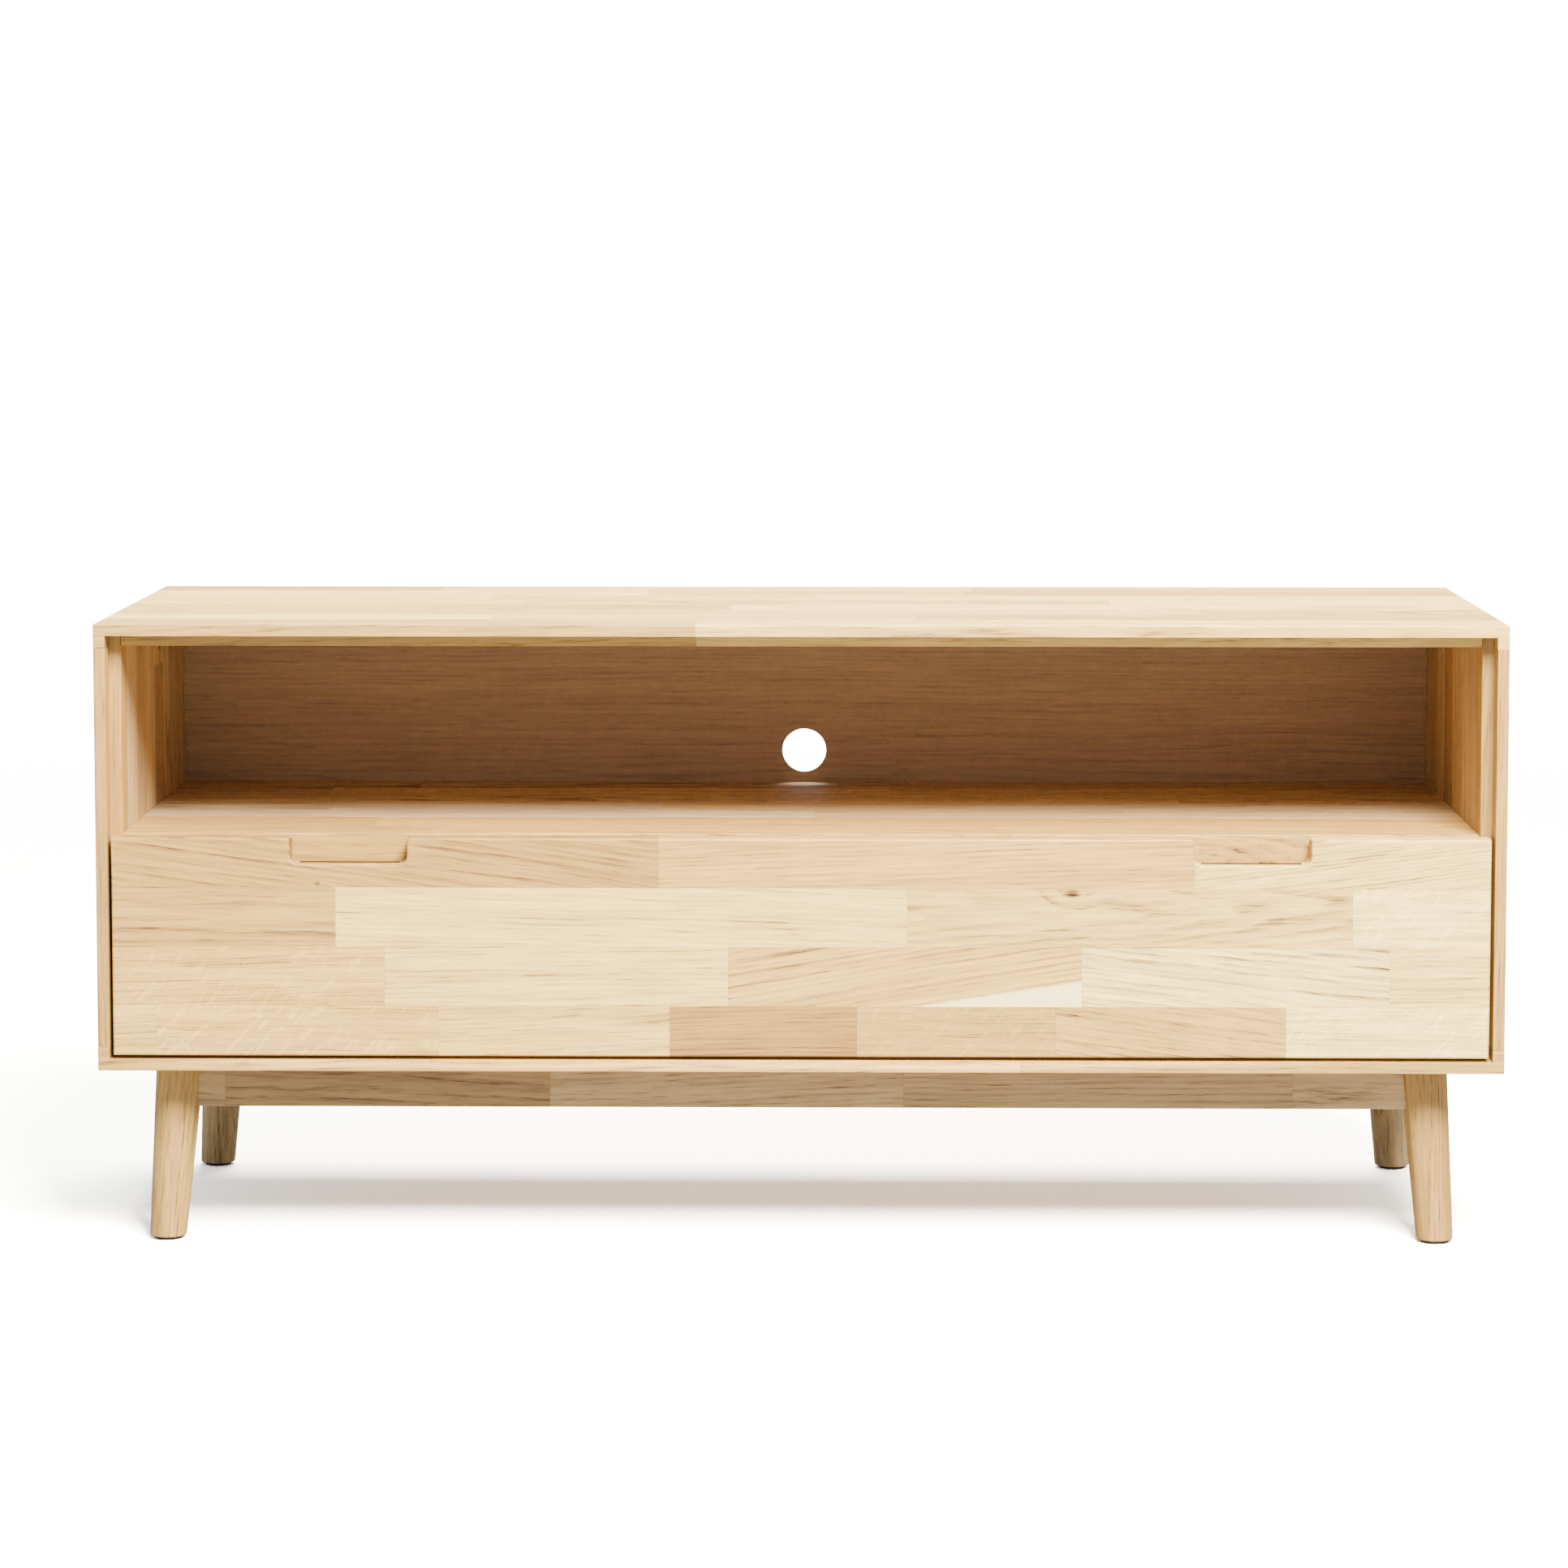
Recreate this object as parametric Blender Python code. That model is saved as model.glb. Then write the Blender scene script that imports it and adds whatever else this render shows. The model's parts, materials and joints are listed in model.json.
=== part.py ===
"""Low television bench in solid oak: an open niche over one wide drawer, on four splayed legs.

Metres. +Z is up, +X is to the right and the front faces -Y. The origin is on the floor, under the
middle of the carcass. Every driving size is named below, and all other sizes follow from them.
"""

import math

import bmesh
import bpy
from mathutils import Matrix, Vector

# Overall sizes. The height is the sum of the legs, the boards and the two openings.
WIDTH = 1.180
DEPTH = 0.400
LEG_HEIGHT = 0.153
NICHE_HEIGHT = 0.1585
DRAWER_SPACE = 0.1535

# Carcass boards
BOARD = 0.020
SHELF_BOARD = 0.025
LIP = 0.010  # what the front rebate leaves of a board's thickness
REBATE_DEPTH = 0.021
SHELF_SETBACK = 0.025
SHELF_HOUSING = 0.006
BACK_BOARD = 0.006
BACK_INSET = 0.014  # from the carcass's rear edge to the back panel
BACK_GROOVE = 0.006
CABLE_HOLE = 0.040
CABLE_HOLE_RISE = 0.029  # from the shelf to the hole's centre

# Legs and aprons
LEG_TOP = 0.041
LEG_FOOT = 0.031
LEG_SPLAY = math.radians(4.0)
LEG_INSET_X = 0.061
LEG_INSET_Y = 0.060
APRON_HEIGHT = 0.040
APRON_BOARD = 0.020
TENON_BOARD = 0.010
TENON_TIP_GAP = 0.0004  # from a tenon's tip to the other tenon in the same leg
TENON_MARGIN = 0.008  # from the tenon's lower and upper edge to the apron's
LEG_CORNER = 0.001  # the least that a leg keeps between its two flats
GLIDE_DIAMETER = 0.024
GLIDE_HEIGHT = 0.002
BLOCK_NEAR = 0.030  # where a corner block's short and long sides meet the aprons
BLOCK_FAR = 0.058
BLOCK_HEIGHT = 0.025

# Drawer
FRONT_BOARD = 0.020
FRONT_GAP = 0.003
FRONT_BELOW_SHELF = 0.001
NOTCH_WIDTH = 0.098
NOTCH_DEPTH = 0.022
NOTCH_RADIUS = 0.007
NOTCH_SHOULDER = 0.003  # rounding where the notch meets the front's top edge
NOTCH_CENTRE = 0.378
NOTCH_SCOOP = 0.010  # chamfer behind the notch, for the fingertips
BOX_BOARD = 0.012
BOX_UNDER = 0.008
BOX_OVER = 0.0165
BOX_BACK_ROOM = 0.015
BOX_FINGERS = 5
BOX_BOTTOM = 0.006
BOX_BOTTOM_RISE = 0.010
BOX_GROOVE = 0.006
FRONT_SCREW_INSET = 0.060  # from the box's side to the screws that hold its front
FRONT_SCREW_SHARES = (0.3, 0.8)  # their heights, as shares of the box's
TRAVEL_STOP = 0.010  # how far short of its own length a runner stops

# Ball-bearing runners
RUNNER_WIDTH = 0.013  # room on each side of the drawer box
RUNNER_HEIGHT = 0.045
RUNNER_STEP = 0.050  # runners come in lengths this far apart
RUNNER_END_ROOM = 0.004
RUNNER_SCREW_SHARE = 1 / 8  # from a runner's end to its screw, as a share of its length
SHEET = 0.0012
BEND = 1.6  # a bend's outer radius, in thicknesses of its sheet
CABINET_FLANGE_GAP = 0.0027  # from the cabinet member's flanges to the drawer member's web
MIDDLE_FLANGE_GAP = 0.0017  # the same for the middle member
CAGE_SHEET = 0.0005
BALL = 0.0030
CAGE_LENGTH = 0.150
BALL_PITCH = 0.030

# Screws: head and shank diameter, head height, length
SCREW_LONG = (0.0080, 0.0040, 0.0024, 0.038)
SCREW_FRONT = (0.0080, 0.0040, 0.0024, 0.026)
SCREW_SHORT = (0.0060, 0.0030, 0.0016, 0.011)
SCREW_SHORTER = (0.0060, 0.0030, 0.0016, 0.009)

# Finish
ARRIS = 0.0015  # the outer edges' rounding
FRONT_ARRIS = 0.0020
FINE_ARRIS = 0.0008
SEAT = 0.0003  # the gap between two pieces that rest on each other
PAST = 0.002  # how far a cutter runs beyond what it cuts

# Planes that several pieces share
SIDE = WIDTH / 2
FRONT = -DEPTH / 2
REAR = DEPTH / 2
CARCASS_BOTTOM = LEG_HEIGHT
FLOOR_TOP = CARCASS_BOTTOM + BOARD
SHELF_BOTTOM = FLOOR_TOP + DRAWER_SPACE
SHELF_TOP = SHELF_BOTTOM + SHELF_BOARD
LID_BOTTOM = SHELF_TOP + NICHE_HEIGHT
HEIGHT = LID_BOTTOM + BOARD
INSIDE = SIDE - BOARD
LIP_INSIDE = SIDE - LIP
SHOULDER = FRONT + REBATE_DEPTH
BACK_REAR = REAR - BACK_INSET
BACK_FACE = BACK_REAR - BACK_BOARD
SHELF_FRONT = FRONT + SHELF_SETBACK

FRONT_BACK = FRONT + FRONT_BOARD
FRONT_SIDE = LIP_INSIDE - FRONT_GAP
FRONT_LOW = CARCASS_BOTTOM + LIP + FRONT_GAP
FRONT_TOP = SHELF_TOP - FRONT_BELOW_SHELF
NOTCH_FLOOR = FRONT_TOP - NOTCH_DEPTH

BOX_SIDE = INSIDE - RUNNER_WIDTH
BOX_LOW = FLOOR_TOP + BOX_UNDER
BOX_TOP = SHELF_BOTTOM - BOX_OVER
BOX_FRONT = FRONT_BACK + SEAT
BOX_REAR = BACK_FACE - BOX_BACK_ROOM
BOX_BOTTOM_LOW = BOX_LOW + BOX_BOTTOM_RISE
BOX_MIDDLE = (BOX_LOW + BOX_TOP) / 2

RUNNER_FRONT = FRONT_BACK + RUNNER_END_ROOM
RUNNER_ROOM = BACK_FACE - RUNNER_END_ROOM - RUNNER_FRONT
RUNNER_LENGTH = math.floor(RUNNER_ROOM / RUNNER_STEP) * RUNNER_STEP
TRAVEL = RUNNER_LENGTH - TRAVEL_STOP

LEG_X = SIDE - LEG_INSET_X
LEG_Y = DEPTH / 2 - LEG_INSET_Y
LEG_LEAN = math.tan(LEG_SPLAY)
APRON_LOW = CARCASS_BOTTOM - APRON_HEIGHT

CORNERS = {
    "front_left": (-1, -1),
    "front_right": (1, -1),
    "rear_left": (-1, 1),
    "rear_right": (1, 1),
}
SIDES = {"left": -1, "right": 1}


def clear_scene():
    for obj in list(bpy.data.objects):
        bpy.data.objects.remove(obj)


def material(name, colour, roughness, metallic=0.0):
    made = bpy.data.materials.new(name)
    made.use_nodes = True
    made.diffuse_color = (*colour, 1.0)
    shader = made.node_tree.nodes["Principled BSDF"]
    shader.inputs["Base Color"].default_value = (*colour, 1.0)
    shader.inputs["Roughness"].default_value = roughness
    shader.inputs["Metallic"].default_value = metallic
    return made


def shape(name, bm):
    """An object at the origin that holds bm, with its faces pointing out."""
    bmesh.ops.recalc_face_normals(bm, faces=bm.faces)
    mesh = bpy.data.meshes.new(name)
    bm.to_mesh(mesh)
    bm.free()
    obj = bpy.data.objects.new(name, mesh)
    bpy.context.scene.collection.objects.link(obj)
    return obj


def block(name, low, high):
    """A box between two corners, which may come in either order on each axis."""
    corners = [sorted(pair) for pair in zip(low, high)]
    size = [top - bottom for bottom, top in corners]
    middle = [(top + bottom) / 2 for bottom, top in corners]
    bm = bmesh.new()
    place = Matrix.Translation(middle) @ Matrix.Diagonal((*size, 1.0))
    bmesh.ops.create_cube(bm, size=1.0, matrix=place)
    return shape(name, bm)


def slab(name, outline, start, step):
    """The outline's points, each moved by start, made a face and extruded along step."""
    bm = bmesh.new()
    face = bm.faces.new([bm.verts.new(Vector(point) + Vector(start)) for point in outline])
    grown = bmesh.ops.extrude_face_region(bm, geom=[face])["geom"]
    moved = [item for item in grown if isinstance(item, bmesh.types.BMVert)]
    bmesh.ops.translate(bm, verts=moved, vec=step)
    return shape(name, bm)


def turned(name, profile, base, axis, segments):
    """A solid of revolution: (radius, height) pairs spun about an axis through base."""
    turn = Vector((0, 0, 1)).rotation_difference(Vector(axis)).to_matrix().to_4x4()
    bm = bmesh.new()
    line = [bm.verts.new((radius, 0, height)) for radius, height in profile]
    edges = [bm.edges.new(pair) for pair in zip(line, line[1:])]
    bmesh.ops.spin(
        bm, geom=line + edges, cent=(0, 0, 0), axis=(0, 0, 1),
        angle=math.tau, steps=segments, use_merge=True,
    )
    bmesh.ops.remove_doubles(bm, verts=bm.verts, dist=1e-6)
    bmesh.ops.transform(bm, matrix=Matrix.Translation(base) @ turn, verts=bm.verts)
    return shape(name, bm)


def combine(obj, others, operation="DIFFERENCE"):
    """Cuts the other shapes out of obj, or joins them to it, and removes them."""
    for other in others:
        modifier = obj.modifiers.new("cut", "BOOLEAN")
        modifier.operation = operation
        modifier.solver = "EXACT"
        modifier.object = other
    graph = bpy.context.evaluated_depsgraph_get()
    mesh = bpy.data.meshes.new_from_object(obj.evaluated_get(graph))
    obj.modifiers.clear()
    obj.data = mesh
    for other in others:
        bpy.data.objects.remove(other)


def soften(obj, radius, places, segments=3):
    """Rounds the edges that lie at one of the places, each a dict of the coordinates they share.

    x is compared without its sign, because the boards are alike at both ends.
    """
    def lies_at(vertex, place):
        found = {"x": abs(vertex.co.x), "y": vertex.co.y, "z": vertex.co.z}
        return all(abs(found[axis] - value) < 1e-5 for axis, value in place.items())

    bm = bmesh.new()
    bm.from_mesh(obj.data)
    bmesh.ops.dissolve_limit(bm, angle_limit=math.radians(0.5), verts=bm.verts, edges=bm.edges)
    edges = [
        edge for edge in bm.edges
        if any(all(lies_at(vertex, place) for vertex in edge.verts) for place in places)
    ]
    bmesh.ops.bevel(
        bm, geom=edges, offset=radius, offset_type="OFFSET", segments=segments,
        profile=0.5, affect="EDGES", material=-1, clamp_overlap=True,
    )
    bm.to_mesh(obj.data)
    bm.free()


def finish(obj, finish_material, parent=None, smooth=False):
    """Gives obj its material and its own origin, at the middle of its box, and its parent."""
    corners = [Vector(corner) for corner in obj.bound_box]
    middle = (corners[0] + corners[6]) / 2
    obj.data.transform(Matrix.Translation(-middle))
    obj.location = middle
    if parent:
        obj.parent = parent
        obj.location = middle - parent.location
    obj.data.materials.clear()
    obj.data.materials.append(finish_material)
    if smooth:
        obj.data.shade_smooth()
        obj.data.set_sharp_from_angle(angle=math.radians(35))


def slide_empty(name):
    """The empty that carries a sliding body; its axis is the runners' line, along Y."""
    empty = bpy.data.objects.new(name, None)
    empty.location = (0, 0, BOX_MIDDLE)
    bpy.context.scene.collection.objects.link(empty)
    return empty


def screw(name, kind, base, axis, finish_material, parent=None):
    """A countersunk screw whose head is flush at base; its shank runs along axis."""
    head, shank, head_height, length = kind
    profile = [
        (0, 0), (head / 2, 0), (shank / 2, head_height),
        (shank / 2, length - shank), (0, length),
    ]
    made = turned(name, profile, base, axis, 16)
    finish(made, finish_material, parent, smooth=True)


def screw_hole(kind, base, axis):
    """The cutter for a screw's hole: the screw grown by the seat, open past its head."""
    head, shank, head_height, length = kind
    profile = [
        (0, -PAST), (head / 2 + SEAT, -PAST), (head / 2 + SEAT, 0),
        (shank / 2 + SEAT, head_height), (shank / 2 + SEAT, length + SEAT), (0, length + SEAT),
    ]
    return turned("hole", profile, base, axis, 16)


# ---- carcass ----

def lid_or_floor(name, oak, inner, outer):
    """The top or bottom board. Both take the sides' tongues, the back and the front rebate.

    inner is the face towards the inside of the carcass, and outer the other one.
    """
    inward = 1 if inner > outer else -1
    lip_face = outer + inward * LIP
    beyond = inner + inward * PAST
    board = block(name, (-SIDE, FRONT, outer), (SIDE, REAR, inner))
    cutters = [
        block("rebate", (-LIP_INSIDE, FRONT - PAST, lip_face), (LIP_INSIDE, SHOULDER, beyond)),
        block(
            "back_groove",
            (-INSIDE - BACK_GROOVE, BACK_FACE - SEAT, inner - inward * BACK_GROOVE),
            (INSIDE + BACK_GROOVE, BACK_REAR + SEAT, beyond),
        ),
    ]
    for side in SIDES.values():
        cutters.append(block(
            "tongue_groove",
            (side * (INSIDE - SEAT), SHOULDER - SEAT, lip_face),
            (side * LIP_INSIDE, REAR + PAST, beyond),
        ))
    if inner > outer:
        cutters += [screw_hole(SCREW_LONG, base, (0, 0, 1)) for base in block_screw_bases()]
    combine(board, cutters)
    soften(board, ARRIS, [
        {"z": outer}, {"x": SIDE, "y": FRONT}, {"x": SIDE, "y": REAR},
    ])
    soften(board, FINE_ARRIS, [{"y": FRONT, "z": lip_face}], segments=2)
    finish(board, oak)


def side_panel(name, side, oak):
    """A side board: its inner half runs on past both ends as the tongues of the corner joints."""
    tongue_low = CARCASS_BOTTOM + LIP + SEAT
    tongue_top = HEIGHT - LIP - SEAT
    board = block(
        name,
        (side * INSIDE, FRONT, tongue_low),
        (side * SIDE, REAR, tongue_top),
    )
    cutters = [
        block(
            "rebate",
            (side * (INSIDE - PAST), FRONT - PAST, tongue_low - PAST),
            (side * LIP_INSIDE, SHOULDER, tongue_top + PAST),
        ),
        block(
            "shelf_housing",
            (side * (INSIDE - PAST), SHELF_FRONT - SEAT, SHELF_BOTTOM - SEAT),
            (side * (INSIDE + SHELF_HOUSING), BACK_FACE, SHELF_TOP + SEAT),
        ),
        block(
            "back_groove",
            (side * (INSIDE - PAST), BACK_FACE - SEAT, tongue_low - PAST),
            (side * (INSIDE + BACK_GROOVE), BACK_REAR + SEAT, tongue_top + PAST),
        ),
    ]
    shoulders = ((FLOOR_TOP + SEAT, tongue_low - PAST), (LID_BOTTOM - SEAT, tongue_top + PAST))
    for shoulder, beyond in shoulders:
        cutters.append(block(
            "end_shoulder",
            (side * (LIP_INSIDE - SEAT), FRONT - PAST, shoulder),
            (side * (SIDE + PAST), REAR + PAST, beyond),
        ))
    for y in runner_screw_places():
        cutters.append(screw_hole(SCREW_SHORT, cabinet_screw_base(side, y), (side, 0, 0)))
    combine(board, cutters)
    soften(board, ARRIS, [
        {"x": SIDE, "y": FRONT}, {"x": SIDE, "y": REAR}, {"x": INSIDE, "y": SHOULDER},
    ])
    soften(board, FINE_ARRIS, [{"x": LIP_INSIDE, "y": FRONT}], segments=2)
    finish(board, oak)


def shelf(oak):
    reach = INSIDE + SHELF_HOUSING - SEAT
    board = block("shelf", (-reach, SHELF_FRONT, SHELF_BOTTOM), (reach, BACK_FACE - SEAT, SHELF_TOP))
    soften(board, ARRIS, [{"y": SHELF_FRONT, "z": SHELF_TOP}, {"y": SHELF_FRONT, "z": SHELF_BOTTOM}])
    finish(board, oak)


def back_panel(veneer):
    """The thin back, held in grooves all round, with a round hole for cables."""
    reach = INSIDE + BACK_GROOVE - SEAT
    low = FLOOR_TOP - BACK_GROOVE + SEAT
    top = LID_BOTTOM + BACK_GROOVE - SEAT
    board = block("back_panel", (-reach, BACK_FACE, low), (reach, BACK_REAR, top))
    radius = CABLE_HOLE / 2
    bore = turned(
        "cable_hole",
        [(0, 0), (radius, 0), (radius, BACK_BOARD + 2 * PAST), (0, BACK_BOARD + 2 * PAST)],
        (0, BACK_FACE - PAST, SHELF_TOP + CABLE_HOLE_RISE), (0, 1, 0), 64,
    )
    combine(board, [bore])
    finish(board, veneer)


# ---- base ----

def leg_centre(across, along, z):
    """The middle of a leg at height z; legs lean outwards on both axes."""
    out = (LEG_HEIGHT - z) * LEG_LEAN
    return Vector((across * (LEG_X + out), along * (LEG_Y + out), z))


def leg_radius(z):
    return (LEG_FOOT + (LEG_TOP - LEG_FOOT) * z / LEG_HEIGHT) / 2


def leg_flat():
    """How far in from a leg's top centre the flats lie that the aprons butt against.

    At the apron's lower edge the leg is thinnest and leans out most, so that height sets it.
    """
    half_chord = APRON_BOARD / 2 + SEAT
    depth = math.sqrt(leg_radius(APRON_LOW) ** 2 - half_chord ** 2)
    return depth - (LEG_HEIGHT - APRON_LOW) * LEG_LEAN - SEAT


def tenon_length():
    """A tenon runs into its leg until it nearly meets the other apron's tenon."""
    return leg_flat() + SEAT - TENON_BOARD / 2 - TENON_TIP_GAP


def leg(name, across, along, oak):
    """A tapered round leg: round sections stacked along the leaning axis, level at both ends."""
    top = LEG_HEIGHT - SEAT
    bottom = GLIDE_HEIGHT + SEAT
    bm = bmesh.new()
    bmesh.ops.create_cone(
        bm, cap_ends=True, segments=40,
        radius1=leg_radius(bottom), radius2=leg_radius(top), depth=top - bottom,
    )
    for vertex in bm.verts:
        height = vertex.co.z + (top + bottom) / 2
        vertex.co += leg_centre(across, along, height) - Vector((0, 0, vertex.co.z))
    foot = [edge for edge in bm.edges if all(v.co.z < bottom + 1e-4 for v in edge.verts)]
    bmesh.ops.bevel(
        bm, geom=foot, offset=ARRIS, offset_type="OFFSET", segments=3,
        profile=0.5, affect="EDGES", material=-1,
    )
    made = shape(name, bm)
    half = APRON_BOARD / 2 + SEAT
    thin = TENON_BOARD / 2 + SEAT
    low = APRON_LOW - SEAT
    reach = LEG_TOP
    flat = leg_flat()
    deep = flat - tenon_length() - SEAT
    tenon_low = APRON_LOW + TENON_MARGIN - SEAT
    tenon_top = LEG_HEIGHT - TENON_MARGIN + SEAT
    # On a slim leg the flats meet, and no corner is left between them.
    inner = half if flat - half > LEG_CORNER else reach
    x, y = across * LEG_X, along * LEG_Y
    cutters = [
        block(
            "flat",
            (x - across * flat, y + along * half, low),
            (x - across * reach, y - along * inner, top + PAST),
        ),
        block(
            "flat",
            (x + across * half, y - along * flat, low),
            (x - across * inner, y - along * reach, top + PAST),
        ),
        block(
            "mortise",
            (x - across * deep, y - thin, tenon_low), (x - across * reach, y + thin, tenon_top),
        ),
        block(
            "mortise",
            (x - thin, y - along * deep, tenon_low), (x + thin, y - along * reach, tenon_top),
        ),
    ]
    combine(made, cutters)
    finish(made, oak, smooth=True)


def apron(name, lengthwise, place, oak):
    """A rail between two legs, with a stub tenon at each end.

    lengthwise is 0 along X and 1 along Y; place is its middle on the other axis.
    """
    leg_middle = LEG_Y if lengthwise else LEG_X
    shoulder = leg_middle - leg_flat() - SEAT
    tip = shoulder + tenon_length()
    half, thin = APRON_BOARD / 2, TENON_BOARD / 2
    top = LEG_HEIGHT - SEAT

    def across(low_long, low_side, low_z, high_long, high_side, high_z):
        if lengthwise:
            return (place + low_side, low_long, low_z), (place + high_side, high_long, high_z)
        return (low_long, place + low_side, low_z), (high_long, place + high_side, high_z)

    rail = block(name, *across(-shoulder, -half, APRON_LOW, shoulder, half, top))
    tenons = block(
        "tenons",
        *across(-tip, -thin, APRON_LOW + TENON_MARGIN, tip, thin, LEG_HEIGHT - TENON_MARGIN),
    )
    edges = [{"z": APRON_LOW, "y": place - half}, {"z": APRON_LOW, "y": place + half}]
    if lengthwise:
        edges = [{"z": APRON_LOW, "x": abs(place) - half}, {"z": APRON_LOW, "x": abs(place) + half}]
    soften(rail, ARRIS, edges)
    combine(rail, [tenons], "UNION")
    finish(rail, oak)


def glide(name, across, along, plastic):
    """A nail-on glide under a foot."""
    centre = leg_centre(across, along, 0)
    radius = GLIDE_DIAMETER / 2
    edge = GLIDE_HEIGHT / 4
    profile = [(0, 0), (radius - edge, 0), (radius, edge), (radius, GLIDE_HEIGHT), (0, GLIDE_HEIGHT)]
    finish(turned(name, profile, centre, (0, 0, 1), 32), plastic, smooth=True)


def corner_of_aprons(across, along):
    """Where the inner faces of two aprons would meet."""
    return across * (LEG_X - APRON_BOARD / 2 - SEAT), along * (LEG_Y - APRON_BOARD / 2 - SEAT)


def block_screw_bases():
    """The four points where the corner blocks' screws start, on the blocks' lower faces."""
    middle = (BLOCK_NEAR + BLOCK_FAR) / 4
    bases = []
    for across, along in CORNERS.values():
        x, y = corner_of_aprons(across, along)
        bases.append((x - across * middle, y - along * middle, LEG_HEIGHT - BLOCK_HEIGHT))
    return bases


def corner_block(name, across, along, base, oak):
    """A block glued across a corner of the base frame; one screw holds it up to the carcass."""
    x, y = corner_of_aprons(across, along)
    outline = [
        (x - across * BLOCK_NEAR, y, 0), (x - across * BLOCK_FAR, y, 0),
        (x, y - along * BLOCK_FAR, 0), (x, y - along * BLOCK_NEAR, 0),
    ]
    height = BLOCK_HEIGHT - SEAT
    made = slab(name, outline, (0, 0, LEG_HEIGHT - BLOCK_HEIGHT), (0, 0, height))
    combine(made, [screw_hole(SCREW_LONG, base, (0, 0, 1))])
    finish(made, oak)


# ---- drawer ----

def arc(centre_x, centre_z, radius, start, end, steps):
    """Points of an arc in the XZ plane, from one angle to another, in degrees."""
    points = []
    for step in range(steps + 1):
        angle = math.radians(start + (end - start) * step / steps)
        points.append((centre_x + radius * math.cos(angle), 0, centre_z + radius * math.sin(angle)))
    return points


def notch_outline(centre):
    """A finger notch's outline from right to left: down, along its floor and up again."""
    right, left = centre + NOTCH_WIDTH / 2, centre - NOTCH_WIDTH / 2
    turn = NOTCH_FLOOR + NOTCH_RADIUS
    return (
        arc(right + NOTCH_SHOULDER, FRONT_TOP - NOTCH_SHOULDER, NOTCH_SHOULDER, 90, 180, 4)
        + arc(right - NOTCH_RADIUS, turn, NOTCH_RADIUS, 0, -90, 6)
        + arc(left + NOTCH_RADIUS, turn, NOTCH_RADIUS, -90, -180, 6)
        + arc(left - NOTCH_SHOULDER, FRONT_TOP - NOTCH_SHOULDER, NOTCH_SHOULDER, 0, 90, 4)
    )


def front_screw_bases():
    """Where the screws start that hold the drawer's front to its box: inside the box."""
    rows = [BOX_LOW + (BOX_TOP - BOX_LOW) * share for share in FRONT_SCREW_SHARES]
    reach = BOX_SIDE - FRONT_SCREW_INSET
    return [(x, BOX_FRONT + BOX_BOARD, z) for x in (-reach, reach) for z in rows]


def drawer_front(oak, parent):
    outline = (
        [(-FRONT_SIDE, 0, FRONT_LOW), (FRONT_SIDE, 0, FRONT_LOW), (FRONT_SIDE, 0, FRONT_TOP)]
        + notch_outline(NOTCH_CENTRE)
        + notch_outline(-NOTCH_CENTRE)
        + [(-FRONT_SIDE, 0, FRONT_TOP)]
    )
    made = slab("drawer_front", outline, (0, FRONT, 0), (0, FRONT_BOARD, 0))
    soften(made, FRONT_ARRIS, [{"y": FRONT}])
    soften(made, FINE_ARRIS, [{"y": FRONT_BACK}], segments=1)
    width = NOTCH_WIDTH - 2 * NOTCH_RADIUS
    wedge = [
        (0, FRONT_BACK + PAST, NOTCH_FLOOR - NOTCH_SCOOP - PAST),
        (0, FRONT_BACK + PAST, NOTCH_FLOOR + PAST),
        (0, FRONT_BACK - NOTCH_SCOOP - PAST, NOTCH_FLOOR + PAST),
    ]
    cutters = [
        slab("scoop", wedge, (centre - width / 2, 0, 0), (width, 0, 0))
        for centre in (-NOTCH_CENTRE, NOTCH_CENTRE)
    ]
    cutters += [screw_hole(SCREW_FRONT, base, (0, -1, 0)) for base in front_screw_bases()]
    combine(made, cutters)
    finish(made, oak, parent)


def fingered(long_low, long_high, own_even):
    """The outline of a box board, as (along, z) pairs, with finger joints at both ends.

    The fingers that the board keeps reach its ends, and the others stop a board's thickness short.
    """
    pitch = (BOX_TOP - BOX_LOW) / BOX_FINGERS
    short = BOX_BOARD + SEAT

    def end_points(end, inward):
        points = []
        for finger in range(BOX_FINGERS):
            kept = (finger % 2 == 0) == own_even
            trim = SEAT / 2 if kept else -SEAT / 2
            along = end if kept else end + inward * short
            low = BOX_LOW + finger * pitch + (trim if finger else 0)
            last = finger == BOX_FINGERS - 1
            high = BOX_LOW + (finger + 1) * pitch - (0 if last else trim)
            points += [(along, low), (along, high)]
        return points

    return end_points(long_low, 1) + end_points(long_high, -1)[::-1]


def bottom_groove():
    """The cutter for the grooves that hold the drawer's bottom."""
    reach_x = BOX_SIDE - BOX_BOARD + BOX_GROOVE
    return block(
        "groove",
        (-reach_x, BOX_FRONT + BOX_BOARD - BOX_GROOVE, BOX_BOTTOM_LOW - SEAT),
        (reach_x, BOX_REAR - BOX_BOARD + BOX_GROOVE, BOX_BOTTOM_LOW + BOX_BOTTOM + SEAT),
    )


def box_side(name, side, birch, parent):
    outline = [(0, y, z) for y, z in fingered(BOX_FRONT, BOX_REAR, True)]
    made = slab(name, outline, (side * BOX_SIDE, 0, 0), (-side * BOX_BOARD, 0, 0))
    cutters = [bottom_groove()]
    for y in runner_screw_places():
        cutters.append(screw_hole(SCREW_SHORTER, drawer_screw_base(side, y), (-side, 0, 0)))
    combine(made, cutters)
    finish(made, birch, parent)


def box_end(name, outer, inward, holes, birch, parent):
    outline = [(x, 0, z) for x, z in fingered(-BOX_SIDE, BOX_SIDE, False)]
    made = slab(name, outline, (0, outer, 0), (0, inward * BOX_BOARD, 0))
    combine(made, [bottom_groove()] + holes)
    finish(made, birch, parent)


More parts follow.
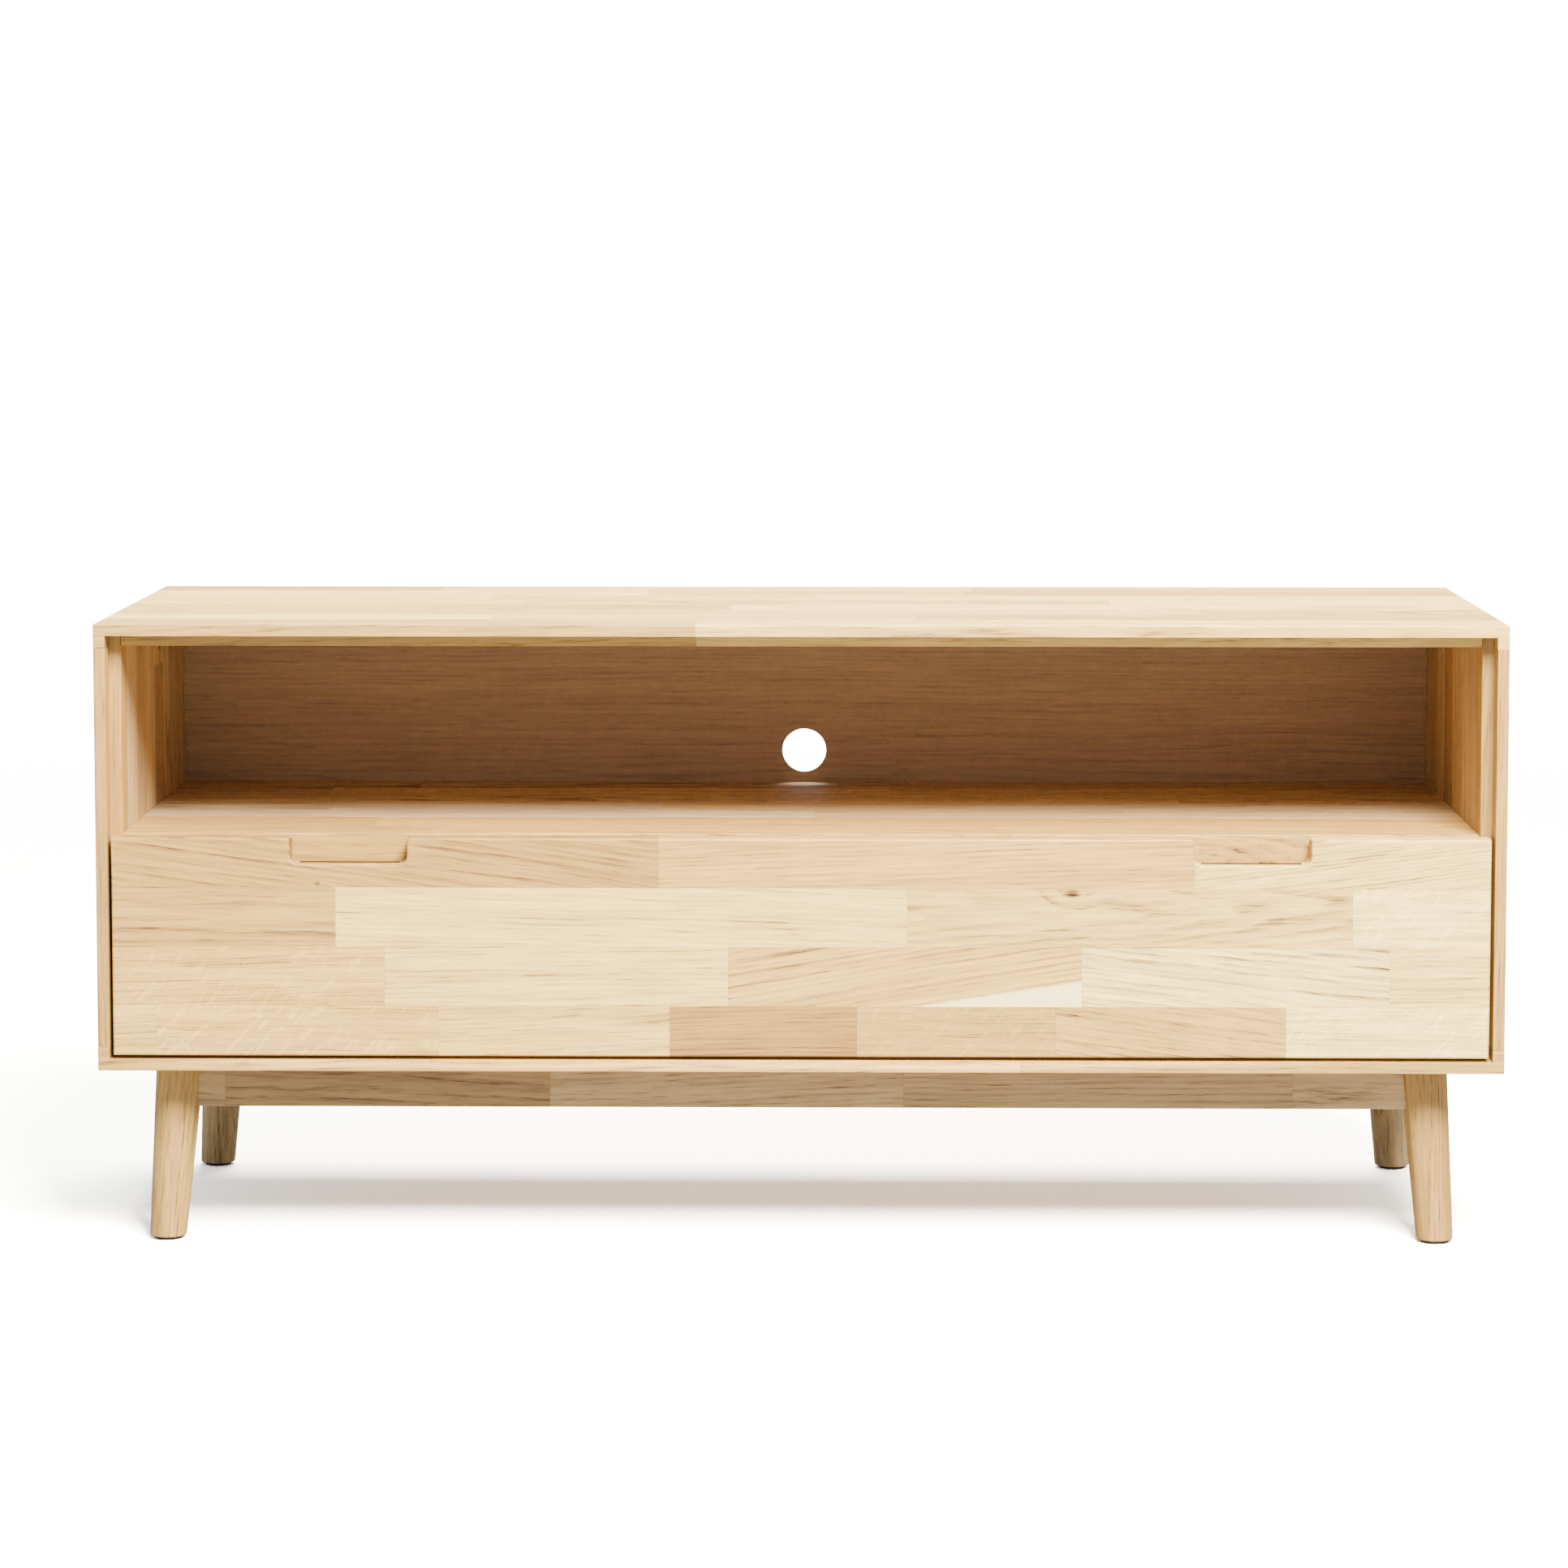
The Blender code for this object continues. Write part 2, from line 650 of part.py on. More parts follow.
def box_bottom(birch, parent):
    reach_x = BOX_SIDE - BOX_BOARD + BOX_GROOVE - SEAT
    made = block(
        "drawer_bottom",
        (-reach_x, BOX_FRONT + BOX_BOARD - BOX_GROOVE + SEAT, BOX_BOTTOM_LOW),
        (reach_x, BOX_REAR - BOX_BOARD + BOX_GROOVE - SEAT, BOX_BOTTOM_LOW + BOX_BOTTOM),
    )
    finish(made, birch, parent)


# ---- runners ----

def runner_layout():
    """The runner's section: each member's web, flange ends and outer half height.

    x is measured from the middle of the carcass and grows towards the cabinet's side. The members
    nest with a ball between each two flanges and a cage between each two webs.
    """
    ball_room = BALL + 2 * SEAT
    cage_room = CAGE_SHEET + 2 * SEAT
    outer_web = INSIDE - SEAT
    outer_half = RUNNER_HEIGHT / 2
    middle_web = outer_web - SHEET - cage_room
    middle_half = outer_half - SHEET - ball_room
    inner_half = middle_half - SHEET - ball_room
    inner_web = BOX_SIDE + SEAT
    return {
        "cabinet": (outer_web, inner_web + CABINET_FLANGE_GAP, outer_half),
        "middle": (middle_web, inner_web + MIDDLE_FLANGE_GAP, middle_half),
        "drawer": (inner_web, middle_web - SHEET - cage_room - SEAT, inner_half),
        "outer_cage": (outer_web - SHEET - SEAT, outer_half - SHEET - ball_room / 2),
        "inner_cage": (middle_web - SHEET - SEAT, middle_half - SHEET - ball_room / 2),
    }


def channel_outline(web, flange_end, half, sheet):
    """A C section as (x, z) pairs: rounded outer corners at the web, square ends on the flanges."""
    toward = 1 if flange_end > web else -1
    bend = sheet * BEND

    def bent(sign, radius):
        """The quarter bend from a flange to the web, above or below."""
        points = []
        for step in range(4):
            angle = math.radians(90 * step / 3)
            points.append((
                web + toward * (bend - radius * math.sin(angle)),
                sign * (half - bend + radius * math.cos(angle)),
            ))
        return points

    outside = [(flange_end, half)] + bent(1, bend) + bent(-1, bend)[::-1] + [(flange_end, -half)]
    inside_half = half - sheet
    inside = [(flange_end, inside_half)] + bent(1, bend - sheet) + bent(-1, bend - sheet)[::-1]
    inside.append((flange_end, -inside_half))
    return outside + inside[::-1]


def channel(name, side, section, sheet, front, length):
    web, flange_end, half = section
    outline = [
        (side * x, 0, BOX_MIDDLE + z)
        for x, z in channel_outline(web, flange_end, half, sheet)
    ]
    return slab(name, outline, (0, front, 0), (0, length, 0))


def runner_screw_places():
    """The Y of a runner's two screws."""
    inset = RUNNER_LENGTH * RUNNER_SCREW_SHARE
    return RUNNER_FRONT + inset, RUNNER_FRONT + RUNNER_LENGTH - inset


def cabinet_screw_base(side, y):
    return side * (INSIDE - SEAT - SHEET), y, BOX_MIDDLE


def drawer_screw_base(side, y):
    return side * (BOX_SIDE + SEAT + SHEET), y, BOX_MIDDLE


def runner_member(name, side, section, steel, parent, holes):
    made = channel(name, side, section, SHEET, RUNNER_FRONT, RUNNER_LENGTH)
    if holes:
        combine(made, holes)
    finish(made, steel, parent, smooth=True)


def ball_cage(name, side, section, ball_x, steel, parent):
    """A thin C-shaped cage with balls along its two flanges, centred in the runner's length."""
    web, half = section
    middle = RUNNER_FRONT + RUNNER_LENGTH / 2
    length = min(CAGE_LENGTH, TRAVEL / 2)
    cage = channel(
        name, side, (web, ball_x - BALL / 2 - SEAT, half + CAGE_SHEET / 2),
        CAGE_SHEET, middle - length / 2, length,
    )
    count = math.floor((length - BALL) / BALL_PITCH) + 1
    first = middle - (count - 1) * BALL_PITCH / 2
    bm = bmesh.new()
    for index in range(count):
        for sign in (-1, 1):
            centre = (side * ball_x, first + index * BALL_PITCH, BOX_MIDDLE + sign * half)
            bmesh.ops.create_icosphere(
                bm, subdivisions=2, radius=BALL / 2, matrix=Matrix.Translation(centre),
            )
    combine(cage, [shape("balls", bm)], "UNION")
    finish(cage, steel, parent, smooth=True)


def runner(side_name, side, steel, drawer):
    """One telescopic runner: three nested members and the two ball cages between them."""
    layout = runner_layout()
    middle_slide = slide_empty(f"{side_name}_runner_middle_slide")
    outer_cage_slide = slide_empty(f"{side_name}_outer_cage_slide")
    inner_cage_slide = slide_empty(f"{side_name}_inner_cage_slide")
    places = runner_screw_places()
    cabinet_holes = [
        screw_hole(SCREW_SHORT, cabinet_screw_base(side, y), (side, 0, 0)) for y in places
    ]
    drawer_holes = [
        screw_hole(SCREW_SHORTER, drawer_screw_base(side, y), (-side, 0, 0)) for y in places
    ]
    members = (
        ("cabinet", None, cabinet_holes),
        ("middle", middle_slide, []),
        ("drawer", drawer, drawer_holes),
    )
    for member, parent, holes in members:
        name = f"{side_name}_runner_{member}_member"
        runner_member(name, side, layout[member], steel, parent, holes)
    outer_ball = (layout["middle"][0] + layout["cabinet"][1]) / 2
    inner_ball = (layout["drawer"][1] + layout["middle"][1]) / 2
    cages = (("outer", outer_ball, outer_cage_slide), ("inner", inner_ball, inner_cage_slide))
    for cage, ball_x, parent in cages:
        name = f"{side_name}_{cage}_ball_cage"
        ball_cage(name, side, layout[f"{cage}_cage"], ball_x, steel, parent)
    for end, y in zip(("front", "rear"), places):
        screw(
            f"{side_name}_cabinet_screw_{end}", SCREW_SHORT,
            cabinet_screw_base(side, y), (side, 0, 0), steel,
        )
        screw(
            f"{side_name}_drawer_screw_{end}", SCREW_SHORTER,
            drawer_screw_base(side, y), (-side, 0, 0), steel, drawer,
        )


def build():
    clear_scene()
    oak = material("oiled_oak", (0.72, 0.55, 0.38), 0.5)
    veneer = material("oak_veneer", (0.62, 0.45, 0.29), 0.55)
    birch = material("birch_plywood", (0.75, 0.62, 0.44), 0.55)
    steel = material("zinc_plated_steel", (0.62, 0.63, 0.65), 0.35, 1.0)
    plastic = material("black_polyamide", (0.03, 0.03, 0.03), 0.5)

    lid_or_floor("top_panel", oak, inner=LID_BOTTOM, outer=HEIGHT)
    lid_or_floor("bottom_panel", oak, inner=FLOOR_TOP, outer=CARCASS_BOTTOM)
    for name, side in SIDES.items():
        side_panel(f"{name}_side_panel", side, oak)
    shelf(oak)
    back_panel(veneer)

    apron("front_apron", 0, -LEG_Y, oak)
    apron("rear_apron", 0, LEG_Y, oak)
    apron("left_apron", 1, -LEG_X, oak)
    apron("right_apron", 1, LEG_X, oak)
    for (name, (across, along)), base in zip(CORNERS.items(), block_screw_bases()):
        leg(f"{name}_leg", across, along, oak)
        glide(f"{name}_glide", across, along, plastic)
        corner_block(f"{name}_corner_block", across, along, base, oak)
        screw(f"{name}_block_screw", SCREW_LONG, base, (0, 0, 1), steel)

    drawer = slide_empty("drawer_slide")
    drawer_front(oak, drawer)
    front_holes = [screw_hole(SCREW_FRONT, base, (0, -1, 0)) for base in front_screw_bases()]
    box_end("drawer_box_front", BOX_FRONT, 1, front_holes, birch, drawer)
    box_end("drawer_box_back", BOX_REAR, -1, [], birch, drawer)
    for name, side in SIDES.items():
        box_side(f"drawer_{name}_side", side, birch, drawer)
    box_bottom(birch, drawer)
    corners = ("lower_left", "upper_left", "lower_right", "upper_right")
    for corner, base in zip(corners, front_screw_bases()):
        screw(f"drawer_front_screw_{corner}", SCREW_FRONT, base, (0, -1, 0), steel, drawer)
    for name, side in SIDES.items():
        runner(name, side, steel, drawer)


build()
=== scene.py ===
"""The looks of a low television bench in oiled oak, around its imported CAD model.

Metres, +Z up, the front faces -Y. The sections follow the bench as it is put together.
"""

import json
import math
import random

import bmesh
import bpy
from mathutils import Matrix, Vector

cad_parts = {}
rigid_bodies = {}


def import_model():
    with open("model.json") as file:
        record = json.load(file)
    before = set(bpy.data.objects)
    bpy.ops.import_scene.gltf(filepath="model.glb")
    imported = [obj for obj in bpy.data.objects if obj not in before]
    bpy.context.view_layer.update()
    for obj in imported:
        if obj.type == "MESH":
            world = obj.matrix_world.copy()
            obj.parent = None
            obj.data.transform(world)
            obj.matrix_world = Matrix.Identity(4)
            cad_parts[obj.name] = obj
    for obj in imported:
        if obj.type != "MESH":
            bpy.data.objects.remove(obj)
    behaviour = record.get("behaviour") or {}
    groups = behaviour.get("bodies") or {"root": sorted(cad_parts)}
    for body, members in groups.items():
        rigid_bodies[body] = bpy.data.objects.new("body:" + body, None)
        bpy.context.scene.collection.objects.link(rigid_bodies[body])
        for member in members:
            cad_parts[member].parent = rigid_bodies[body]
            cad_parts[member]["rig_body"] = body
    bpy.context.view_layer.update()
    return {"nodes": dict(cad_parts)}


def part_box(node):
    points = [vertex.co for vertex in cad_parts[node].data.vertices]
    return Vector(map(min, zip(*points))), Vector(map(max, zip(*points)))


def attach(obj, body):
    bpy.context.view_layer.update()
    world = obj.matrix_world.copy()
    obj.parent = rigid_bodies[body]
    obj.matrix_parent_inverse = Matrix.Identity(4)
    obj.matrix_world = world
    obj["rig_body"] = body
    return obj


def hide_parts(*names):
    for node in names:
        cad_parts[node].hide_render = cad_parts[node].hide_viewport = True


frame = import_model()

# ---- Bottom panel ----
# A board of edge-glued oak staves, 50 mm wide and butt-jointed end to end, planed and sanded, then
# given a matt oil with a little white in it. Its front rebate takes the drawer's front.

X, Y, Z = 0, 1, 2
STAVE = 0.050
FAR = 1.0  # beyond every edge of the bench, so no glue line shows there

# What the whitened oil leaves of the wood's own colour, from reddish heartwood to the palest. The
# greyer, duller tones after them go to boards that sit in shade, as painted cool shade.
OAK_TONES = {
    "rose": "#b28745",
    "tan": "#c0964f",
    "sand": "#caa156",
    "blush": "#d7ac5d",
    "wheat": "#dfb663",
    "straw": "#ebc46c",
    "cream": "#f8d378",
    "oat": "#cba974",
    "hay": "#d7b57f",
    "clay": "#ba9865",
    "ash": "#d8bf94",
    "fawn": "#c8ae86",
    "bran": "#b29672",
    "white": "#ffe489",
}

DARKEST = (0.44, 0.40, 0.38)  # what the brownest grain leaves of a tone's red, green and blue
SAPWOOD, SAPWOOD_SHARE = "#fff2b4", 0.8
NO_SAPWOOD = 9.0  # farther from the pith than any stave lies

# How a stave was sawn from its log, in metres: how far its middle lies from the pith along its width
# and through its thickness, its rings' width, and how much it runs off the grain over its length
# (across, through). Then how strongly the rings and the rays show, and where sapwood starts.
SAWN = {
    "flat": {"aside": (0.002, 0.012), "deep": (0.030, 0.070), "ring": (0.0034, 0.0050),
             "off_grain": ((0.01, 0.04), (0.02, 0.05)), "strength": (0.75, 1.0), "rays": 0.0,
             "sap": NO_SAPWOOD},
    "rift": {"aside": (0.060, 0.120), "deep": (0.040, 0.080), "ring": (0.0028, 0.0044),
             "off_grain": ((0.00, 0.04), (0.00, 0.03)), "strength": (0.45, 0.7), "rays": 0.10,
             "sap": NO_SAPWOOD},
    "quarter": {"aside": (0.090, 0.150), "deep": (0.001, 0.012), "ring": (0.0020, 0.0030),
                "off_grain": ((0.00, 0.02), (0.00, 0.02)), "strength": (0.3, 0.45), "rays": 1.0,
                "sap": NO_SAPWOOD},
    "steep": {"aside": (0.050, 0.090), "deep": (0.030, 0.050), "ring": (0.0040, 0.0056),
              "off_grain": ((0.10, 0.16), (0.02, 0.06)), "strength": (0.7, 1.0), "rays": 0.0,
              "sap": NO_SAPWOOD},
}


def linear(hex_colour):
    """An sRGB hex colour as linear red, green and blue."""
    channels = [int(hex_colour[start:start + 2], 16) / 255 for start in (1, 3, 5)]
    return tuple(c / 12.92 if c <= 0.04045 else ((c + 0.055) / 1.055) ** 2.4 for c in channels)


def add_node(tree, kind, inputs=None, stops=None, **settings):
    """Adds a node. inputs maps a socket to a value or to another node's output, and stops are a
    colour ramp's (place, grey) pairs."""
    node = tree.nodes.new(kind)
    for name, value in settings.items():
        setattr(node, name, value)
    for socket, value in (inputs or {}).items():
        if isinstance(value, bpy.types.NodeSocket):
            tree.links.new(value, node.inputs[socket])
        else:
            node.inputs[socket].default_value = value
    if stops:
        ramp = node.color_ramp
        while len(ramp.elements) < len(stops):
            ramp.elements.new(0.5)
        for element, (place, grey) in zip(ramp.elements, stops):
            element.position = place
            element.color = (grey, grey, grey, 1)
    return node


def oiled_oak(name, ring_depth, pore_depth, streak_depth, roughness):
    """Oak as a solid: growth rings round the pith, pores, rays and knots, with a matt oil on it.

    Each stave carries its place in its own log (along the grain, then across), its tone, and how
    far each point is from the glue lines.
    """
    made = bpy.data.materials.new(name)
    made.use_nodes = True
    tree = made.node_tree
    tree.nodes.clear()
    math_node, vector_node, noise_node = "ShaderNodeMath", "ShaderNodeVectorMath", "ShaderNodeTexNoise"
    range_node, mix_node, stretch_node = "ShaderNodeMapRange", "ShaderNodeMix", "ShaderNodeMapping"
    log = add_node(tree, "ShaderNodeAttribute", attribute_name="log").outputs["Vector"]
    tone = add_node(tree, "ShaderNodeAttribute", attribute_name="tone").outputs
    glue = add_node(tree, "ShaderNodeAttribute", attribute_name="glue").outputs
    sawn = add_node(tree, "ShaderNodeAttribute", attribute_name="sawn").outputs
    knot = add_node(tree, "ShaderNodeAttribute", attribute_name="knot").outputs["Vector"]
    sawn_parts = add_node(tree, "ShaderNodeSeparateColor", {0: sawn["Color"]}).outputs
    ring_width, strength, ray_share, sap_radius = *sawn_parts[:3], sawn["Alpha"]
    knot_reach = add_node(tree, vector_node, {0: knot}, operation="LENGTH").outputs["Value"]

    # Growth rings. The trunk isn't straight: the rings wander by about 3 mm over 300 mm of length.
    bends = add_node(
        tree, stretch_node, {"Vector": log, "Scale": (0.30, 0.07, 0.07)}, vector_type="TEXTURE",
    )
    bends = add_node(tree, noise_node, {"Vector": bends.outputs[0], "Scale": 1.0, "Detail": 3.0})
    wander = add_node(
        tree, vector_node, {0: bends.outputs["Color"], 1: (0.5, 0.5, 0.5)}, operation="SUBTRACT",
    )
    wander = add_node(tree, vector_node, {0: wander.outputs[0], 1: (0.0, 0.013, 0.013), 2: log},
                      operation="MULTIPLY_ADD")
    across = add_node(tree, vector_node, {0: wander.outputs[0], 1: (0.0, 1.0, 1.0)}, operation="MULTIPLY")
    radius = add_node(tree, vector_node, {0: across.outputs[0]}, operation="LENGTH").outputs["Value"]
    # They bend round a knot, by up to 4 mm.
    bend = add_node(tree, range_node, {0: knot_reach, 1: 5.0, 2: 0.5, 3: 0.0, 4: 0.004},
                    interpolation_type="SMOOTHSTEP")
    radius = add_node(tree, math_node, {0: radius, 1: bend.outputs[0]}, operation="ADD").outputs[0]
    rings = add_node(tree, math_node, {0: radius, 1: ring_width}, operation="DIVIDE").outputs[0]
    years = add_node(
        tree, stretch_node, {"Vector": log, "Scale": (0.6, 0.020, 0.020)}, vector_type="TEXTURE",
    )
    years = add_node(tree, noise_node, {"Vector": years.outputs[0], "Scale": 1.0, "Detail": 1.0})
    rings = add_node(tree, math_node, {0: years.outputs["Fac"], 1: 2.4, 2: rings}, operation="MULTIPLY_ADD")
    year = add_node(tree, math_node, {0: rings.outputs[0]}, operation="FLOOR").outputs[0]
    season = add_node(tree, math_node, {0: rings.outputs[0]}, operation="FRACT").outputs[0]
    # A ring starts with a dark line of open earlywood and fades into dense, pale latewood.
    early = add_node(tree, "ShaderNodeValToRGB", {0: season},
                     stops=[(0.0, 0.0), (0.10, 0.9), (0.22, 1.0), (0.46, 0.40), (0.75, 0.06), (1.0, 0.0)])
    early = add_node(tree, "ShaderNodeSeparateColor", {0: early.outputs[0]}).outputs[0]
    good_year = add_node(
        tree, "ShaderNodeTexWhiteNoise", {"W": year}, noise_dimensions="1D",
    ).outputs["Value"]
    good_year = add_node(tree, range_node, {0: good_year, 1: 0.0, 2: 1.0, 3: 0.25, 4: 1.0}).outputs[0]
    early = add_node(tree, math_node, {0: early, 1: good_year}, operation="MULTIPLY").outputs[0]
    figure = add_node(tree, math_node, {0: early, 1: strength}, operation="MULTIPLY").outputs[0]

    # Pores are 0.3 mm wide and about 10 mm long, and are drawn 0.9 mm wide so that they show.
    pores = add_node(
        tree, stretch_node, {"Vector": log, "Scale": (0.024, 0.0009, 0.0009)}, vector_type="TEXTURE",
    )
    pores = add_node(tree, noise_node, {"Vector": pores.outputs[0], "Scale": 1.0, "Detail": 1.0})
    pores = add_node(tree, range_node, {0: pores.outputs["Fac"], 1: 0.52, 2: 0.68})
    crowd = add_node(tree, range_node, {0: early, 1: 0.0, 2: 0.6, 3: 0.30, 4: 1.0})
    pores = add_node(
        tree, math_node, {0: pores.outputs[0], 1: crowd.outputs[0]}, operation="MULTIPLY",
    ).outputs[0]

    # Fibres differ in bundles about 3 mm wide, and in broader, longer bands.
    fibres = add_node(
        tree, stretch_node, {"Vector": log, "Scale": (0.075, 0.0030, 0.0030)}, vector_type="TEXTURE",
    )
    fibres = add_node(tree, noise_node, {"Vector": fibres.outputs[0], "Scale": 1.0, "Detail": 2.0})
    fibres = add_node(tree, range_node, {0: fibres.outputs["Fac"], 1: 0.36, 2: 0.66}).outputs[0]
    broken = add_node(tree, math_node, {0: fibres, 1: 0.75, 2: 0.30}, operation="MULTIPLY_ADD").outputs[0]
    figure = add_node(tree, math_node, {0: figure, 1: broken}, operation="MULTIPLY").outputs[0]
    bands = add_node(
        tree, stretch_node, {"Vector": log, "Scale": (0.40, 0.011, 0.011)}, vector_type="TEXTURE",
    )
    bands = add_node(tree, noise_node, {"Vector": bands.outputs[0], "Scale": 1.0, "Detail": 3.0})
    bands = add_node(tree, range_node, {0: bands.outputs["Fac"], 1: 0.34, 2: 0.68}).outputs[0]
    clouds = add_node(
        tree, stretch_node, {"Vector": log, "Scale": (0.14, 0.035, 0.035)}, vector_type="TEXTURE",
    )
    clouds = add_node(tree, noise_node, {"Vector": clouds.outputs[0], "Scale": 1.0, "Detail": 2.0})
    clouds = add_node(tree, range_node, {0: clouds.outputs["Fac"], 1: 0.3, 2: 0.7}).outputs[0]

    # Rays are pale flecks, 4 mm wide and 20 mm long, that lean across quarter-sawn staves.
    rays = add_node(
        tree, stretch_node,
        {"Vector": wander.outputs[0], "Rotation": (0, 0, 0.85), "Scale": (0.020, 0.0042, 0.0042)},
        vector_type="TEXTURE",
    )
    rays = add_node(
        tree, noise_node, {"Vector": rays.outputs[0], "Scale": 1.0, "Detail": 1.0, "Distortion": 0.4},
    )
    rays = add_node(
        tree, range_node, {0: rays.outputs["Fac"], 1: 0.56, 2: 0.64}, interpolation_type="SMOOTHSTEP",
    )
    rays = add_node(tree, math_node, {0: rays.outputs[0], 1: ray_share}, operation="MULTIPLY").outputs[0]
    # Sapwood starts over 3 mm, past the last ring of heartwood.
    sap_depth = add_node(tree, math_node, {0: radius, 1: sap_radius}, operation="SUBTRACT").outputs[0]
    sapwood = add_node(
        tree, range_node, {0: sap_depth, 1: 0.0, 2: 0.003}, interpolation_type="SMOOTHSTEP",
    ).outputs[0]

    # Glue lines are 0.1 mm wide and are drawn 0.5 mm wide. Knots are dark at their middle.
    sides = add_node(tree, "ShaderNodeSeparateColor", {0: glue["Color"]}).outputs
    ends = add_node(tree, math_node, {0: sides[0], 1: sides[1]}, operation="MINIMUM").outputs[0]
    edges = add_node(tree, math_node, {0: sides[2], 1: glue["Alpha"]}, operation="MINIMUM").outputs[0]
    nearest = add_node(tree, math_node, {0: ends, 1: edges}, operation="MINIMUM").outputs[0]
    line = add_node(tree, range_node, {0: nearest, 1: 0.0001, 2: 0.0005, 3: 1.0, 4: 0.0}).outputs[0]
    heart = add_node(
        tree, range_node, {0: knot_reach, 1: 1.3, 2: 0.3}, interpolation_type="SMOOTHSTEP",
    ).outputs[0]

    # How far each of these turns the stave's own tone brown, added up.
    brown = add_node(tree, math_node, {0: figure, 1: ring_depth}, operation="MULTIPLY").outputs[0]
    end_grain = tone["Alpha"]
    for amount, share in ((pores, pore_depth), (fibres, streak_depth), (bands, streak_depth),
                          (clouds, 0.10), (line, 0.22), (end_grain, 0.45), (heart, 0.9), (rays, -0.22)):
        brown = add_node(
            tree, math_node, {0: amount, 1: share, 2: brown}, operation="MULTIPLY_ADD",
        ).outputs[0]
    darker = add_node(
        tree, vector_node, {0: tone["Color"], 1: DARKEST}, operation="MULTIPLY",
    ).outputs[0]
    colour = add_node(tree, mix_node, {0: brown, 6: tone["Color"], 7: darker},
                      data_type="RGBA", clamp_factor=False).outputs[2]
    sapwood = add_node(tree, math_node, {0: sapwood, 1: SAPWOOD_SHARE}, operation="MULTIPLY").outputs[0]
    pale = add_node(tree, mix_node, {0: sapwood, 6: colour, 7: (*linear(SAPWOOD), 1)},
                    data_type="RGBA").outputs[2]

    sheen = add_node(
        tree, range_node, {0: pores, 1: 0.0, 2: 1.0, 3: roughness, 4: roughness + 0.16},
    ).outputs[0]
    relief = add_node(tree, math_node, {0: pores, 1: -0.8, 2: 1.0}, operation="MULTIPLY_ADD").outputs[0]
    relief = add_node(tree, math_node, {0: line, 1: -0.6, 2: relief}, operation="MULTIPLY_ADD").outputs[0]
    relief = add_node(tree, math_node, {0: figure, 1: -0.3, 2: relief}, operation="MULTIPLY_ADD").outputs[0]
    bump = add_node(
        tree, "ShaderNodeBump", {"Strength": 0.4, "Distance": 0.00012, "Height": relief},
    ).outputs[0]
    shader = add_node(tree, "ShaderNodeBsdfPrincipled",
                      {"Base Color": pale, "Roughness": sheen, "Normal": bump, "IOR": 1.48})
    add_node(tree, "ShaderNodeOutputMaterial", {"Surface": shader.outputs[0]})
    return made


oak = oiled_oak("oiled_solid_oak", ring_depth=0.80, pore_depth=0.55, streak_depth=0.30, roughness=0.55)


def merged_copy(node):
    """A CAD node's mesh with its loose triangles joined and its flat faces made whole."""
    bm = bmesh.new()
    bm.from_mesh(frame["nodes"][node].data)
    bmesh.ops.remove_doubles(bm, verts=bm.verts, dist=1e-6)
    bmesh.ops.dissolve_limit(bm, angle_limit=math.radians(0.2), verts=bm.verts, edges=bm.edges)
    return bm


def show(name, bm, node, material, sharp=32):
    """Makes bm the piece that stands for a CAD node and moves with its body. Edges that turn by
    more than sharp, in degrees, stay crisp."""
    mesh = bpy.data.meshes.new(name)
    bm.to_mesh(mesh)
    bm.free()
    mesh.shade_smooth()
    mesh.set_sharp_from_angle(angle=math.radians(sharp))
    mesh.materials.clear()
    mesh.materials.append(material)
    piece = bpy.data.objects.new(name, mesh)
    bpy.context.scene.collection.objects.link(piece)
    weighted = piece.modifiers.new("flat_faces_stay_flat", "WEIGHTED_NORMAL")
    weighted.keep_sharp = True
    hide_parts(node)
    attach(piece, frame["nodes"][node]["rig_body"])
    return piece


FIRST_LENGTH, LENGTH = (0.12, 0.45), (0.26, 0.52)  # a row's first stave is cut to stagger its joints
SHORTEST = 0.07  # a shorter rest is left on the stave before it


def lay_staves(low, high, chooser, tones=("sand", "blush", "wheat", "straw", "cream")):
    """One row of staves as they come to hand, each (end, tone, sawing)."""
    row, end = [], low
    while end < high:
        end += chooser.uniform(*(LENGTH if row else FIRST_LENGTH))
        end = high if high - end < SHORTEST else end
        tone = chooser.choice(tones)
        row.append((end, tone, chooser.choice(("flat", "rift", "rift", "quarter", "steep"))))
    return row


def cut(bm, axis, place, faces):
    """Cuts the given faces where they cross the plane at place on axis."""
    point, normal = Vector(), Vector()
    point[axis], normal[axis] = place, 1
    parts = {part for face in faces for part in (face, *face.edges, *face.verts)}
    bmesh.ops.bisect_plane(bm, geom=list(parts), plane_co=point, plane_no=normal, dist=1e-7)


KNOT_STRETCH = 1.8  # how much longer a knot is along the grain than across
NO_KNOT = (9.0, 9.0, 0.0)  # in knot radii, beyond the reach of any knot


